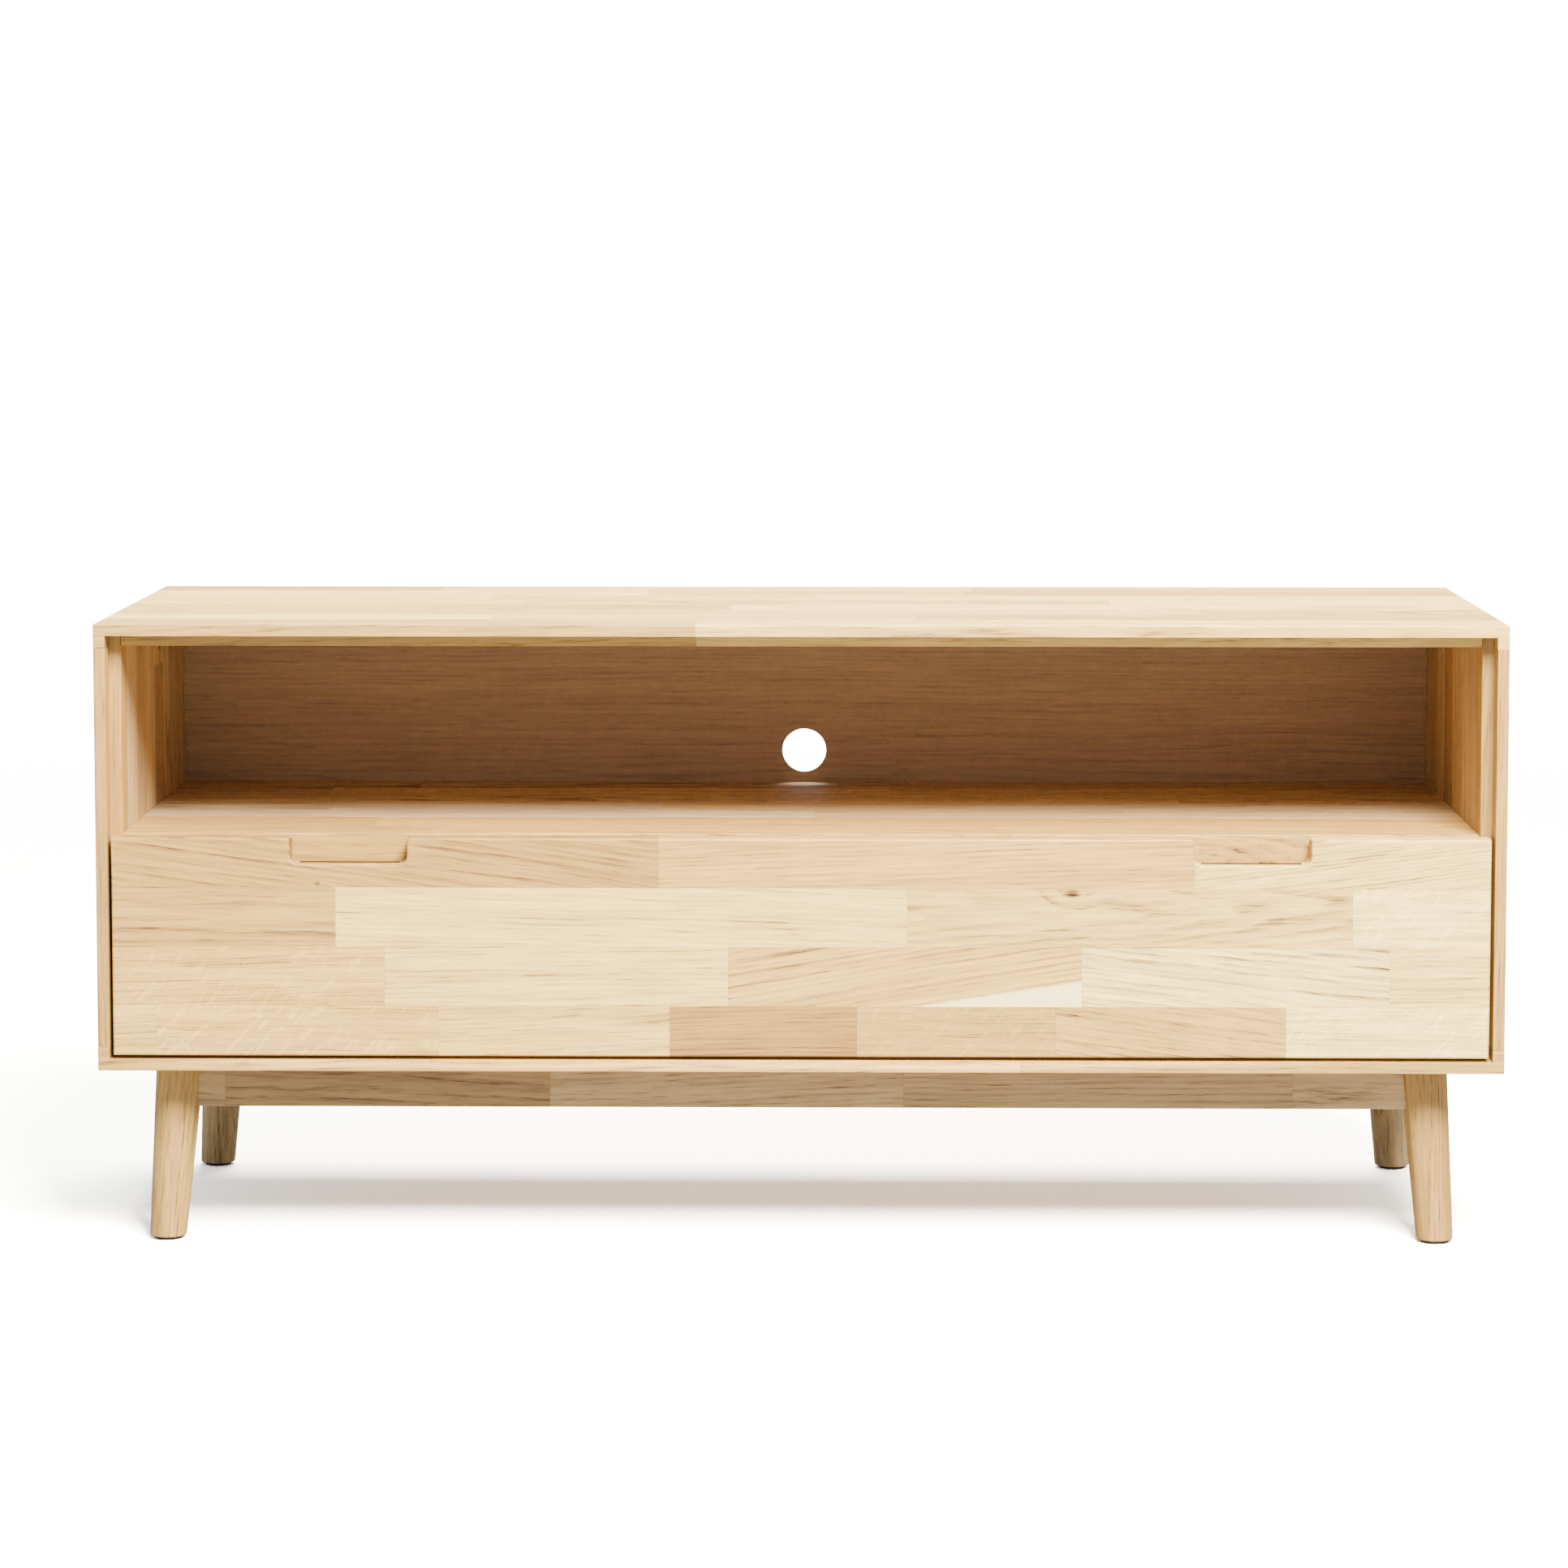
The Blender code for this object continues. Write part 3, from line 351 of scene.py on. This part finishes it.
def glue_up(node, suffix, grain, across, seed, material=oak, rows=None,
            glue_lines=None, lean=(0, 0, 0), knots=()):
    """A board as its staves: the CAD node's shape cut along its glue lines.

    grain and across are the axes along and across the staves. rows lists each row's staves, from
    the lowest row up. A stave is (end, tone, sawing) or (end, tone, sawing, changes to SAWN), and
    a knot is (place along, place across, radius). lean is how far the grain drifts, as on a leg.
    """
    low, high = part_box(node)
    chooser = random.Random(seed)
    if glue_lines is None:
        count = max(1, round((high[across] - low[across]) / STAVE))
        glue_lines = [low[across] + (high[across] - low[across]) * i / count for i in range(1, count)]
    bounds = [low[across] - FAR, *glue_lines, high[across] + FAR]
    if rows is None:
        rows = [lay_staves(low[grain], high[grain], chooser) for _ in bounds[1:]]
    thick = 3 - grain - across
    bm = merged_copy(node)
    for line in glue_lines:
        cut(bm, across, line, list(bm.faces))
    staves = []
    for bottom, top, row in zip(bounds, bounds[1:], rows):
        start = low[grain] - FAR
        for number, (end, tone, sawing, *changes) in enumerate(row):
            last = number == len(row) - 1
            if not last:
                cut(bm, grain, end, [f for f in bm.faces if bottom < f.calc_center_median()[across] < top])
            sawn = {**SAWN[sawing], **(changes[0] if changes else {})}
            flip, turn_over = chooser.choice((-1, 1)), chooser.choice((-1, 1))
            if "flip" in sawn:
                flip = sawn["flip"]
            run_across, run_through = (chooser.uniform(*pair) for pair in sawn["off_grain"])
            pith = (flip * chooser.uniform(*sawn["aside"]), turn_over * chooser.uniform(*sawn["deep"]))
            staves.append({
                "start": start, "end": high[grain] + FAR if last else end, "bottom": bottom, "top": top,
                "pith": pith,
                "off_grain": (run_across * sawn.get("rise", chooser.choice((-1, 1))), run_through),
                "shift": chooser.uniform(-4, 4),
                "sawn": (chooser.uniform(*sawn["ring"]), chooser.uniform(*sawn["strength"]),
                         sawn["rays"], sawn["sap"]),
                "tone": linear(OAK_TONES[tone]),
            })
            start = end
    vector, colour = bm.loops.layers.float_vector, bm.loops.layers.float_color
    log_layer, knot_layer = vector.new("log"), vector.new("knot")
    sawn_layer, tone_layer, glue_layer = colour.new("sawn"), colour.new("tone"), colour.new("glue")
    middle = (low + high) / 2
    for face in bm.faces:
        centre = face.calc_center_median()
        stave = next(
            s for s in staves
            if s["start"] <= centre[grain] < s["end"] and s["bottom"] <= centre[across] < s["top"]
        )
        stave_middle = (max(stave["start"], low[grain]) + min(stave["end"], high[grain])) / 2
        row_middle = (max(stave["bottom"], low[across]) + min(stave["top"], high[across])) / 2
        end_grain = abs(face.normal[grain]) ** 4
        for loop in face.loops:
            place = loop.vert.co
            along = place[grain] - stave_middle
            drift = place[grain] - middle[grain]
            over = place[across] - row_middle - lean[across] * drift
            through = place[thick] - middle[thick] - lean[thick] * drift
            loop[log_layer] = (
                along + stave["shift"],
                over - stave["pith"][0] - stave["off_grain"][0] * along,
                through - stave["pith"][1] - stave["off_grain"][1] * along,
            )
            loop[sawn_layer] = stave["sawn"]
            loop[tone_layer] = (*stave["tone"], end_grain)
            loop[glue_layer] = (
                place[grain] - stave["start"], stave["end"] - place[grain],
                place[across] - stave["bottom"], stave["top"] - place[across],
            )
            near = NO_KNOT
            for knot_along, knot_over, size in knots:
                in_length = stave["start"] < knot_along < stave["end"]
                if in_length and stave["bottom"] < knot_over < stave["top"]:
                    beside = (place[across] - knot_over) / size
                    near = ((place[grain] - knot_along) / size / KNOT_STRETCH, beside, 0.0)
            loop[knot_layer] = near
    return show(f"{node}_{suffix}", bm, node, material)


bottom_low, bottom_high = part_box("bottom_panel")
bottom_chooser = random.Random(11)
bottom_rows = [lay_staves(bottom_low.x, bottom_high.x, bottom_chooser) for _ in range(8)]
bottom_rows[0] = [(-0.310, "sand", "rift"), (0.185, "blush", "rift"), (bottom_high.x, "sand", "rift")]
glue_up("bottom_panel", "staves", grain=X, across=Y, seed=11, rows=bottom_rows)

# ---- Side panels ----
# The same glued-up oak with its grain upright, so that its end grain is hidden in the corner joints.
# Each side's tongues are glued into the top and bottom panels' grooves.

side_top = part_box("left_side_panel")[1].z
for side, seed, knots in (("left", 21, [(0.492, 0.030, 0.004)]), ("right", 22, [])):
    chooser = random.Random(seed)
    side_rows = []
    # Behind the lip the staves take the greyer tones, as painted cool shade for the inner faces in the
    # niche.
    for _ in range(8):
        tone = chooser.choice(("oat", "hay", "clay", "hay"))
        side_rows.append([(side_top, tone, chooser.choice(("flat", "rift", "rift")))])
    side_rows[0] = [(side_top, "tan", "rift")]
    # One stave in the left side was short, so it was pieced out above with a knotty offcut.
    if knots:
        side_rows[4] = [(0.475, "clay", "rift"), (side_top, "hay", "flat")]
    glue_up(f"{side}_side_panel", "staves", grain=Z, across=Y, seed=seed, rows=side_rows, knots=knots)

# ---- Back panel ----
# A 6 mm board faced on both sides with sliced oak veneer, slid into grooves all round. Its leaves run
# the whole width, and a hole for cables is bored through it.

veneer = oiled_oak("oiled_oak_veneer", ring_depth=0.38, pore_depth=0.24, streak_depth=0.16, roughness=0.58)
back_low, back_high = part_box("back_panel")
LEAF = 0.175
# Both leaves take the darker, greyer bran tone, as painted shade for the back of the niche.
glue_up(
    "back_panel", "veneer", grain=X, across=Z, seed=31, material=veneer,
    glue_lines=[back_low.z + LEAF],
    rows=[[(back_high.x, "bran", "rift")], [(back_high.x, "bran", "rift")]],
)

# ---- Shelf ----
# A 25 mm glued-up board, housed into the sides, that closes the drawer's space and carries the
# player or the console in the niche.

shelf_low, shelf_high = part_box("shelf")
shelf_chooser = random.Random(41)
shelf_rows = []
# The front two rows take warm tones and the rows behind greyer, duller ones, as painted cool shade deeper
# in the niche.
for tones, count in ((("tan", "sand"), 2), (("ash", "hay", "ash"), 3), (("fawn", "ash", "fawn"), 2)):
    shelf_rows += [lay_staves(shelf_low.x, shelf_high.x, shelf_chooser, tones) for _ in range(count)]
glue_up("shelf", "staves", grain=X, across=Y, seed=41, rows=shelf_rows)

# ---- Top panel ----
# Glued-up oak like the bottom panel, and the bench's table top. Its ends show their end grain. Its
# front edge is rebated like the bottom panel's, so that the opening has the same lip all round.

top_low, top_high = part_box("top_panel")
top_chooser = random.Random(51)
top_rows = [lay_staves(top_low.x, top_high.x, top_chooser) for _ in range(8)]
top_rows[0] = [(-0.087, "sand", "rift"), (top_high.x, "straw", "rift")]
glue_up("top_panel", "staves", grain=X, across=Y, seed=51, rows=top_rows)

# ---- Base frame ----
# Four oak rails, tenoned into the legs and screwed up to the bottom panel through corner blocks.

front_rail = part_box("front_apron")[1].x
# The front and end rails take the greyer tones, as painted cool shade under the bench's overhang.
glue_up(
    "front_apron", "rail", grain=X, across=Z, seed=61, glue_lines=[],
    rows=[[(-0.490, "oat", "rift"), (-0.213, "clay", "flat"), (0.088, "hay", "rift"),
           (0.418, "oat", "rift"), (front_rail, "hay", "flat")]],
)
glue_up("rear_apron", "rail", grain=X, across=Z, seed=62, glue_lines=[])
glue_up("left_apron", "rail", grain=Y, across=Z, seed=63, glue_lines=[], rows=[[(FAR, "oat", "rift")]])
glue_up("right_apron", "rail", grain=Y, across=Z, seed=64, glue_lines=[], rows=[[(FAR, "oat", "rift")]])
corners = [f"{depth}_{side}" for depth in ("front", "rear") for side in ("left", "right")]
for number, corner in enumerate(corners):
    glue_up(
        f"{corner}_corner_block", "offcut", grain=X, across=Y, seed=70 + number, glue_lines=[],
        rows=[[(FAR, "clay", "rift")]],
    )

# ---- Legs ----
# Round tapered oak legs, turned on a lathe and sawn off at an angle, so that they lean outwards.

LEG_SPLAY = 4.0  # degrees
LEG_LEAN = math.tan(math.radians(LEG_SPLAY))
leg_tones = {"front_left": "sand", "front_right": "tan", "rear_left": "hay", "rear_right": "hay"}
for number, corner in enumerate(corners):
    out_x = 1 if "right" in corner else -1
    out_y = 1 if "rear" in corner else -1
    glue_up(
        f"{corner}_leg", "turned", grain=Z, across=X, seed=80 + number, glue_lines=[],
        rows=[[(FAR, leg_tones[corner], "rift")]], lean=(-out_x * LEG_LEAN, -out_y * LEG_LEAN, 0),
    )

# ---- Glides ----
# Nail-on glides of moulded black polyamide, with a rounded rim and a sunk middle for the nail.


def moulded_polyamide():
    """Polyamide 6: near black, with a dull gloss and a fine moulded grain."""
    made = bpy.data.materials.new("moulded_black_polyamide")
    made.use_nodes = True
    tree = made.node_tree
    tree.nodes.clear()
    place = add_node(tree, "ShaderNodeTexCoord").outputs["Object"]
    GRAIN = 0.0006  # the mould's texture
    grain = add_node(
        tree, "ShaderNodeTexNoise", {"Vector": place, "Scale": 1 / GRAIN, "Detail": 2.0},
    ).outputs["Fac"]
    shade = add_node(
        tree, "ShaderNodeMix",
        {0: grain, 6: (*linear("#17171a"), 1), 7: (*linear("#232327"), 1)}, data_type="RGBA",
    )
    bump = add_node(
        tree, "ShaderNodeBump", {"Strength": 0.3, "Distance": 0.00005, "Height": grain},
    ).outputs[0]
    shader = add_node(
        tree, "ShaderNodeBsdfPrincipled",
        {"Base Color": shade.outputs[2], "Roughness": 0.48, "IOR": 1.53, "Normal": bump},
    )
    add_node(tree, "ShaderNodeOutputMaterial", {"Surface": shader.outputs[0]})
    return made


def turn(profile, steps):
    """A solid of revolution about Z through the origin, from (radius, height) pairs."""
    bm = bmesh.new()
    points = [bm.verts.new((radius, 0, height)) for radius, height in profile]
    edges = [bm.edges.new(pair) for pair in zip(points, points[1:])]
    bmesh.ops.spin(
        bm, geom=points + edges, cent=(0, 0, 0), axis=(0, 0, 1), angle=math.tau, steps=steps,
        use_merge=True,
    )
    bmesh.ops.remove_doubles(bm, verts=bm.verts, dist=1e-6)
    bmesh.ops.recalc_face_normals(bm, faces=bm.faces)
    return bm


polyamide = moulded_polyamide()
for corner in corners:
    low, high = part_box(f"{corner}_glide")
    radius, thickness = (high.x - low.x) / 2, high.z - low.z
    rim = thickness * 0.45
    profile = [(0, rim), (radius * 0.30, rim), (radius * 0.36, 0)]
    for turned in (0, 0.4, 0.8, 1.2, math.pi / 2):
        profile.append((radius - rim * (1 - math.sin(turned)), rim * (1 - math.cos(turned))))
    profile += [(radius, thickness), (0, thickness)]
    bm = turn(profile, 64)
    bmesh.ops.translate(bm, verts=bm.verts, vec=((low.x + high.x) / 2, (low.y + high.y) / 2, low.z))
    show(f"{corner}_moulded_glide", bm, f"{corner}_glide", polyamide)

# ---- Wood screws ----
# Zinc-plated countersunk screws with a cross recess. They hold the blocks, the runners and the
# drawer's front, and only their heads show.


def zinc_plated():
    """Rolled steel with bright zinc: a soft blue-grey shine with fine lines along the strip."""
    made = bpy.data.materials.new("zinc_plated_rolled_steel")
    made.use_nodes = True
    tree = made.node_tree
    tree.nodes.clear()
    place = add_node(tree, "ShaderNodeTexCoord").outputs["Object"]
    ROLL_LINE = 0.0007  # real lines are finer, and are drawn this coarse to show
    lines = add_node(
        tree, "ShaderNodeMapping", {"Vector": place, "Scale": (1 / ROLL_LINE, 18.0, 1 / ROLL_LINE)},
    ).outputs[0]
    lines = add_node(
        tree, "ShaderNodeTexNoise", {"Vector": lines, "Scale": 1.0, "Detail": 2.0},
    ).outputs["Fac"]
    clouds = add_node(
        tree, "ShaderNodeTexNoise", {"Vector": place, "Scale": 90.0, "Detail": 3.0},
    ).outputs["Fac"]
    shade = add_node(
        tree, "ShaderNodeMix",
        {0: clouds, 6: (*linear("#b4b9be"), 1), 7: (*linear("#d6d8d8"), 1)}, data_type="RGBA",
    )
    rough = add_node(tree, "ShaderNodeMapRange", {0: lines, 1: 0.3, 2: 0.7, 3: 0.26, 4: 0.44}).outputs[0]
    bump = add_node(
        tree, "ShaderNodeBump", {"Strength": 0.15, "Distance": 0.00003, "Height": lines},
    ).outputs[0]
    shader = add_node(
        tree, "ShaderNodeBsdfPrincipled",
        {"Base Color": shade.outputs[2], "Metallic": 1.0, "Roughness": rough, "Normal": bump},
    )
    add_node(tree, "ShaderNodeOutputMaterial", {"Surface": shader.outputs[0]})
    return made


def wood_screw(node, axis, inward):
    """A screw in a CAD screw's place: its head is at the start of the direction inward along axis."""
    low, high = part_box(node)
    length = high[axis] - low[axis]
    head = (high[(axis + 1) % 3] - low[(axis + 1) % 3]) / 2
    # The head's cone is 90 degrees. The thread's core, its flights and its pitch go by the head.
    core, flight, pitch = head * 0.36, head * 0.50, head * 0.36
    flat = head * 0.06
    profile = [(0, 0), (head * 0.985, 0), (head, flat), (flight, flat + head - flight), (core, head * 0.9)]
    height = head * 1.1
    tip = 2.2 * pitch
    while height < length - tip:
        profile += [(core, height), (flight, height + pitch * 0.35), (core, height + pitch * 0.7)]
        height += pitch
    profile += [(core, height), (0, length)]
    bm = turn(profile, 24)
    top = [f for f in bm.faces if abs(f.calc_center_median().z) < 1e-7 and abs(f.normal.z) > 0.9]
    bmesh.ops.dissolve_faces(bm, faces=top, use_verts=True)
    body = bpy.data.meshes.new("screw")
    bm.to_mesh(body)
    bm.free()
    screw = bpy.data.objects.new("screw", body)
    bpy.context.scene.collection.objects.link(screw)
    # The recess: two crossed slots that narrow towards their bottom.
    cross = bmesh.new()
    long, narrow = head * 0.95, head * 0.22
    for along_x, along_y in ((long, narrow), (narrow, long)):
        slot = bmesh.ops.create_cube(cross, size=1.0)["verts"]
        bmesh.ops.scale(cross, verts=slot, vec=(along_x, along_y, head * 1.1))
        deep = [v for v in slot if v.co.z > 0]
        bmesh.ops.scale(cross, verts=deep, vec=(0.45, 0.45, 1.0))
    recess_mesh = bpy.data.meshes.new("recess")
    cross.to_mesh(recess_mesh)
    cross.free()
    recess = bpy.data.objects.new("recess", recess_mesh)
    bpy.context.scene.collection.objects.link(recess)
    sink = screw.modifiers.new("recess", "BOOLEAN")
    sink.object = recess
    sink.use_self = True
    bpy.context.view_layer.update()
    sunk = screw.evaluated_get(bpy.context.evaluated_depsgraph_get()).to_mesh()
    bm = bmesh.new()
    bm.from_mesh(sunk)
    for scratch in (screw, recess):
        bpy.data.objects.remove(scratch)
    direction = Vector([inward if i == axis else 0 for i in range(3)])
    head_place = (low + high) / 2
    head_place[axis] = low[axis] if inward > 0 else high[axis]
    spin = Vector((0, 0, 1)).rotation_difference(direction).to_matrix().to_4x4()
    bmesh.ops.transform(bm, matrix=Matrix.Translation(head_place) @ spin, verts=bm.verts)
    show(f"{node}_cross_head", bm, node, zinc, sharp=40)


zinc = zinc_plated()
for corner in corners:
    wood_screw(f"{corner}_block_screw", Z, 1)
for corner in ("lower_left", "upper_left", "lower_right", "upper_right"):
    wood_screw(f"drawer_front_screw_{corner}", Y, -1)
for side, outward in (("left", -1), ("right", 1)):
    for end in ("front", "rear"):
        wood_screw(f"{side}_cabinet_screw_{end}", X, outward)
        wood_screw(f"{side}_drawer_screw_{end}", X, -outward)

# ---- Runners ----
# Roll-formed steel strip in three nested channels a side, with ball cages between them. The cabinet
# member is screwed to the side panel and the drawer member to the drawer's box.

runner_parts = (
    "runner_cabinet_member", "runner_middle_member", "runner_drawer_member",
    "outer_ball_cage", "inner_ball_cage",
)
for side in ("left", "right"):
    for part in runner_parts:
        node = f"{side}_{part}"
        show(f"{node}_steel", merged_copy(node), node, zinc, sharp=38)

# ---- Drawer box ----
# Birch plywood, 12 mm with nine plies, finger-jointed at the corners and given a clear lacquer. The
# 6 mm bottom runs in a groove.


def lacquered_birch():
    """Pale, close-grained birch; the sawn edges show the plies as light and dark lines."""
    made = bpy.data.materials.new("lacquered_birch_plywood")
    made.use_nodes = True
    tree = made.node_tree
    tree.nodes.clear()
    log = add_node(tree, "ShaderNodeAttribute", attribute_name="log").outputs["Vector"]
    edge = add_node(tree, "ShaderNodeAttribute", attribute_name="tone").outputs["Alpha"]
    PLY = 0.00133  # a ninth of 12 mm
    PORE_LENGTH, PORE_WIDTH = 0.030, 0.0014  # birch is finer, and is drawn this coarse to show
    fine = add_node(
        tree, "ShaderNodeMapping",
        {"Vector": log, "Scale": (PORE_LENGTH, PORE_WIDTH, PORE_WIDTH)}, vector_type="TEXTURE",
    ).outputs[0]
    fine = add_node(
        tree, "ShaderNodeTexNoise", {"Vector": fine, "Scale": 1.0, "Detail": 2.0},
    ).outputs["Fac"]
    BAND_LENGTH, BAND_WIDTH = 0.35, 0.030  # the broad figure of peeled veneer
    broad = add_node(
        tree, "ShaderNodeMapping",
        {"Vector": log, "Scale": (BAND_LENGTH, BAND_WIDTH, BAND_WIDTH)}, vector_type="TEXTURE",
    ).outputs[0]
    broad = add_node(
        tree, "ShaderNodeTexNoise", {"Vector": broad, "Scale": 1.0, "Detail": 3.0, "Distortion": 0.6},
    ).outputs["Fac"]
    face = add_node(
        tree, "ShaderNodeMix",
        {0: broad, 6: (*linear("#b5905a"), 1), 7: (*linear("#d9b883"), 1)}, data_type="RGBA",
    ).outputs[2]
    face_fine = add_node(tree, "ShaderNodeMapRange", {0: fine, 1: 0.40, 2: 0.65, 3: 0.0, 4: 0.8}).outputs[0]
    face = add_node(
        tree, "ShaderNodeMix", {0: face_fine, 6: face, 7: (*linear("#a07a48"), 1)}, data_type="RGBA",
    ).outputs[2]
    through = add_node(tree, "ShaderNodeSeparateXYZ", {0: log}).outputs["Z"]
    plies = add_node(tree, "ShaderNodeMath", {0: through, 1: PLY}, operation="DIVIDE").outputs[0]
    plies = add_node(tree, "ShaderNodeMath", {0: plies, 1: 1.0}, operation="PINGPONG").outputs[0]
    crossed = add_node(tree, "ShaderNodeMapRange", {0: plies, 1: 0.42, 2: 0.58, 3: 0.0, 4: 1.0}).outputs[0]
    layers = add_node(
        tree, "ShaderNodeMix",
        {0: crossed, 6: (*linear("#d2b07a"), 1), 7: (*linear("#82592f"), 1)}, data_type="RGBA",
    ).outputs[2]
    colour = add_node(tree, "ShaderNodeMix", {0: edge, 6: face, 7: layers}, data_type="RGBA").outputs[2]
    bump = add_node(
        tree, "ShaderNodeBump", {"Strength": 0.2, "Distance": 0.00008, "Height": fine},
    ).outputs[0]
    shader = add_node(
        tree, "ShaderNodeBsdfPrincipled",
        {"Base Color": colour, "Roughness": 0.42, "IOR": 1.5, "Coat Weight": 0.15, "Coat Roughness": 0.3,
         "Normal": bump},
    )
    add_node(tree, "ShaderNodeOutputMaterial", {"Surface": shader.outputs[0]})
    return made


def plywood_board(node, grain, across):
    """A CAD board with its place in its own sheet of plywood; the ends and edges show the plies."""
    low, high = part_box(node)
    thick = 3 - grain - across
    bm = merged_copy(node)
    log_layer = bm.loops.layers.float_vector.new("log")
    tone_layer = bm.loops.layers.float_color.new("tone")
    middle = (low + high) / 2
    for face in bm.faces:
        edge = 0.0 if abs(face.normal[thick]) > 0.7 else 1.0
        for loop in face.loops:
            place = loop.vert.co
            loop[log_layer] = (place[grain], place[across], place[thick] - middle[thick])
            loop[tone_layer] = (1.0, 1.0, 1.0, edge)
    return show(f"{node}_plywood", bm, node, birch)


birch = lacquered_birch()
plywood_board("drawer_bottom", X, Y)
plywood_board("drawer_box_front", X, Z)
plywood_board("drawer_box_back", X, Z)
plywood_board("drawer_left_side", Y, Z)
plywood_board("drawer_right_side", Y, Z)

# ---- Drawer front ----
# One glued-up oak board over the full width, screwed to the box from inside. Its staves are listed
# one by one. Two notches are milled in its top edge for the fingers.

front_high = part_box("drawer_front")[1]
TOP_STAVE = 0.0415  # the top row was trimmed to size
front_lines = [front_high.z - TOP_STAVE - STAVE * row for row in (2, 1, 0)]
end = front_high.x
front_rows = [
    [(-0.540, "straw", "rift"), (-0.303, "wheat", "quarter", {"rays": 1.4}), (-0.109, "straw", "rift"),
     (0.048, "rose", "rift"), (0.214, "sand", "quarter"), (0.407, "blush", "steep", {"rise": -1}),
     (end, "white", "quarter")],
    [(-0.348, "wheat", "quarter", {"strength": (0.7, 0.8)}), (-0.060, "cream", "rift"),
     (0.236, "wheat", "steep", {"rise": 1, "flip": 1, "off_grain": ((0.165, 0.17), (0, 0)), "sap": 0.1145}),
     (0.493, "white", "steep", {"rise": -1, "flip": 1, "strength": (0.9, 1.0)}), (end, "cream", "rift")],
    [(-0.389, "sand", "flat", {"off_grain": ((0, 0), (0, 0)), "strength": (0.6, 0.7)}),
     (0.090, "cream", "rift"), (0.462, "straw", "flat"), (end, "white", "quarter")],
    [(-0.118, "tan", "steep", {"rise": -1, "flip": 1, "off_grain": ((0.14, 0.15), (0, 0.02))}),
     (0.330, "blush", "rift"), (end, "cream", "steep", {"rise": 1, "ring": (0.0026, 0.003)})],
]
glue_up(
    "drawer_front", "staves", grain=X, across=Z, seed=91, glue_lines=front_lines, rows=front_rows,
    knots=[(-0.404, 0.312, 0.0018), (0.228, 0.305, 0.0038)],
)

# ---- Studio ----
# A pale floor that fades into a white surround. A large soft lamp hangs high in front on the right,
# another high behind, and a cool fill comes from all round.

FLOOR_SEEN = 4.2  # the floor is paler to the eye than to the light that it throws back on the bench
FLOOR_THROWN = 0.25
FLOOR_RADIUS = 8.0
FADE_START, FADE_END = 1.3, 4.5
floor_mesh = bpy.data.meshes.new("floor")
bm = bmesh.new()
bmesh.ops.create_circle(bm, cap_ends=True, segments=96, radius=FLOOR_RADIUS)
bm.to_mesh(floor_mesh)
bm.free()
floor = bpy.data.objects.new("floor", floor_mesh)
bpy.context.scene.collection.objects.link(floor)
floor_paint = bpy.data.materials.new("matt_white_floor")
floor_paint.use_nodes = True
tree = floor_paint.node_tree
tree.nodes.clear()
place = add_node(tree, "ShaderNodeTexCoord").outputs["Object"]
reach = add_node(tree, "ShaderNodeVectorMath", {0: place}, operation="LENGTH").outputs["Value"]
fade = add_node(
    tree, "ShaderNodeMapRange", {0: reach, 1: FADE_START, 2: FADE_END}, interpolation_type="SMOOTHSTEP",
).outputs[0]
seen = add_node(tree, "ShaderNodeLightPath").outputs["Is Camera Ray"]
whiteness = add_node(tree, "ShaderNodeMapRange", {0: seen, 3: FLOOR_THROWN, 4: FLOOR_SEEN}).outputs[0]
whiteness = add_node(tree, "ShaderNodeCombineColor", {0: whiteness, 1: whiteness, 2: whiteness}).outputs[0]
paint = add_node(tree, "ShaderNodeBsdfDiffuse", {"Color": whiteness})
clear = add_node(tree, "ShaderNodeBsdfTransparent")
mixed = add_node(tree, "ShaderNodeMixShader", {0: fade, 1: paint.outputs[0], 2: clear.outputs[0]})
add_node(tree, "ShaderNodeOutputMaterial", {"Surface": mixed.outputs[0]})
floor.data.materials.append(floor_paint)

world = bpy.data.worlds.new("studio")
bpy.context.scene.world = world
world.use_nodes = True
tree = world.node_tree
tree.nodes.clear()
seen = add_node(tree, "ShaderNodeLightPath").outputs["Is Camera Ray"]
FILL, SURROUND = 0.66, 18.0
fill = add_node(tree, "ShaderNodeBackground", {"Color": (0.78, 0.90, 1.0, 1), "Strength": FILL})
surround = add_node(tree, "ShaderNodeBackground", {"Color": (1, 1, 1, 1), "Strength": SURROUND})
mixed = add_node(tree, "ShaderNodeMixShader", {0: seen, 1: fill.outputs[0], 2: surround.outputs[0]})
add_node(tree, "ShaderNodeOutputWorld", {"Surface": mixed.outputs[0]})

AIM = Vector((0.0, 0.0, 0.25))  # the middle of the bench
lamps = {  # side in metres, watts, place
    "key": (1.5, 1040.0, (0.9, -2.45, 3.05)),
    "back": (1.8, 330.0, (0.0, 1.7, 3.4)),
}
for name, (size, watts, place) in lamps.items():
    lamp_data = bpy.data.lights.new(name, "AREA")
    lamp_data.shape, lamp_data.size, lamp_data.energy = "SQUARE", size, watts
    lamp_data.color = (1.0, 0.928, 0.78)
    lamp = bpy.data.objects.new(name, lamp_data)
    bpy.context.scene.collection.objects.link(lamp)
    lamp.location = place
    lamp.rotation_euler = (AIM - lamp.location).to_track_quat("-Z", "Y").to_euler()

TILT_DOWN, TURN_LEFT = 4.708, 0.836  # degrees
camera_data = bpy.data.cameras.new("camera")
camera_data.lens, camera_data.sensor_width = 102.54, 36.0
camera_data.shift_y = -0.12
camera = bpy.data.objects.new("camera", camera_data)
bpy.context.scene.collection.objects.link(camera)
camera.location = (0.0409, -3.9009, 0.8591)
camera.rotation_euler = (math.radians(90 - TILT_DOWN), 0, math.radians(TURN_LEFT))
bpy.context.scene.camera = camera
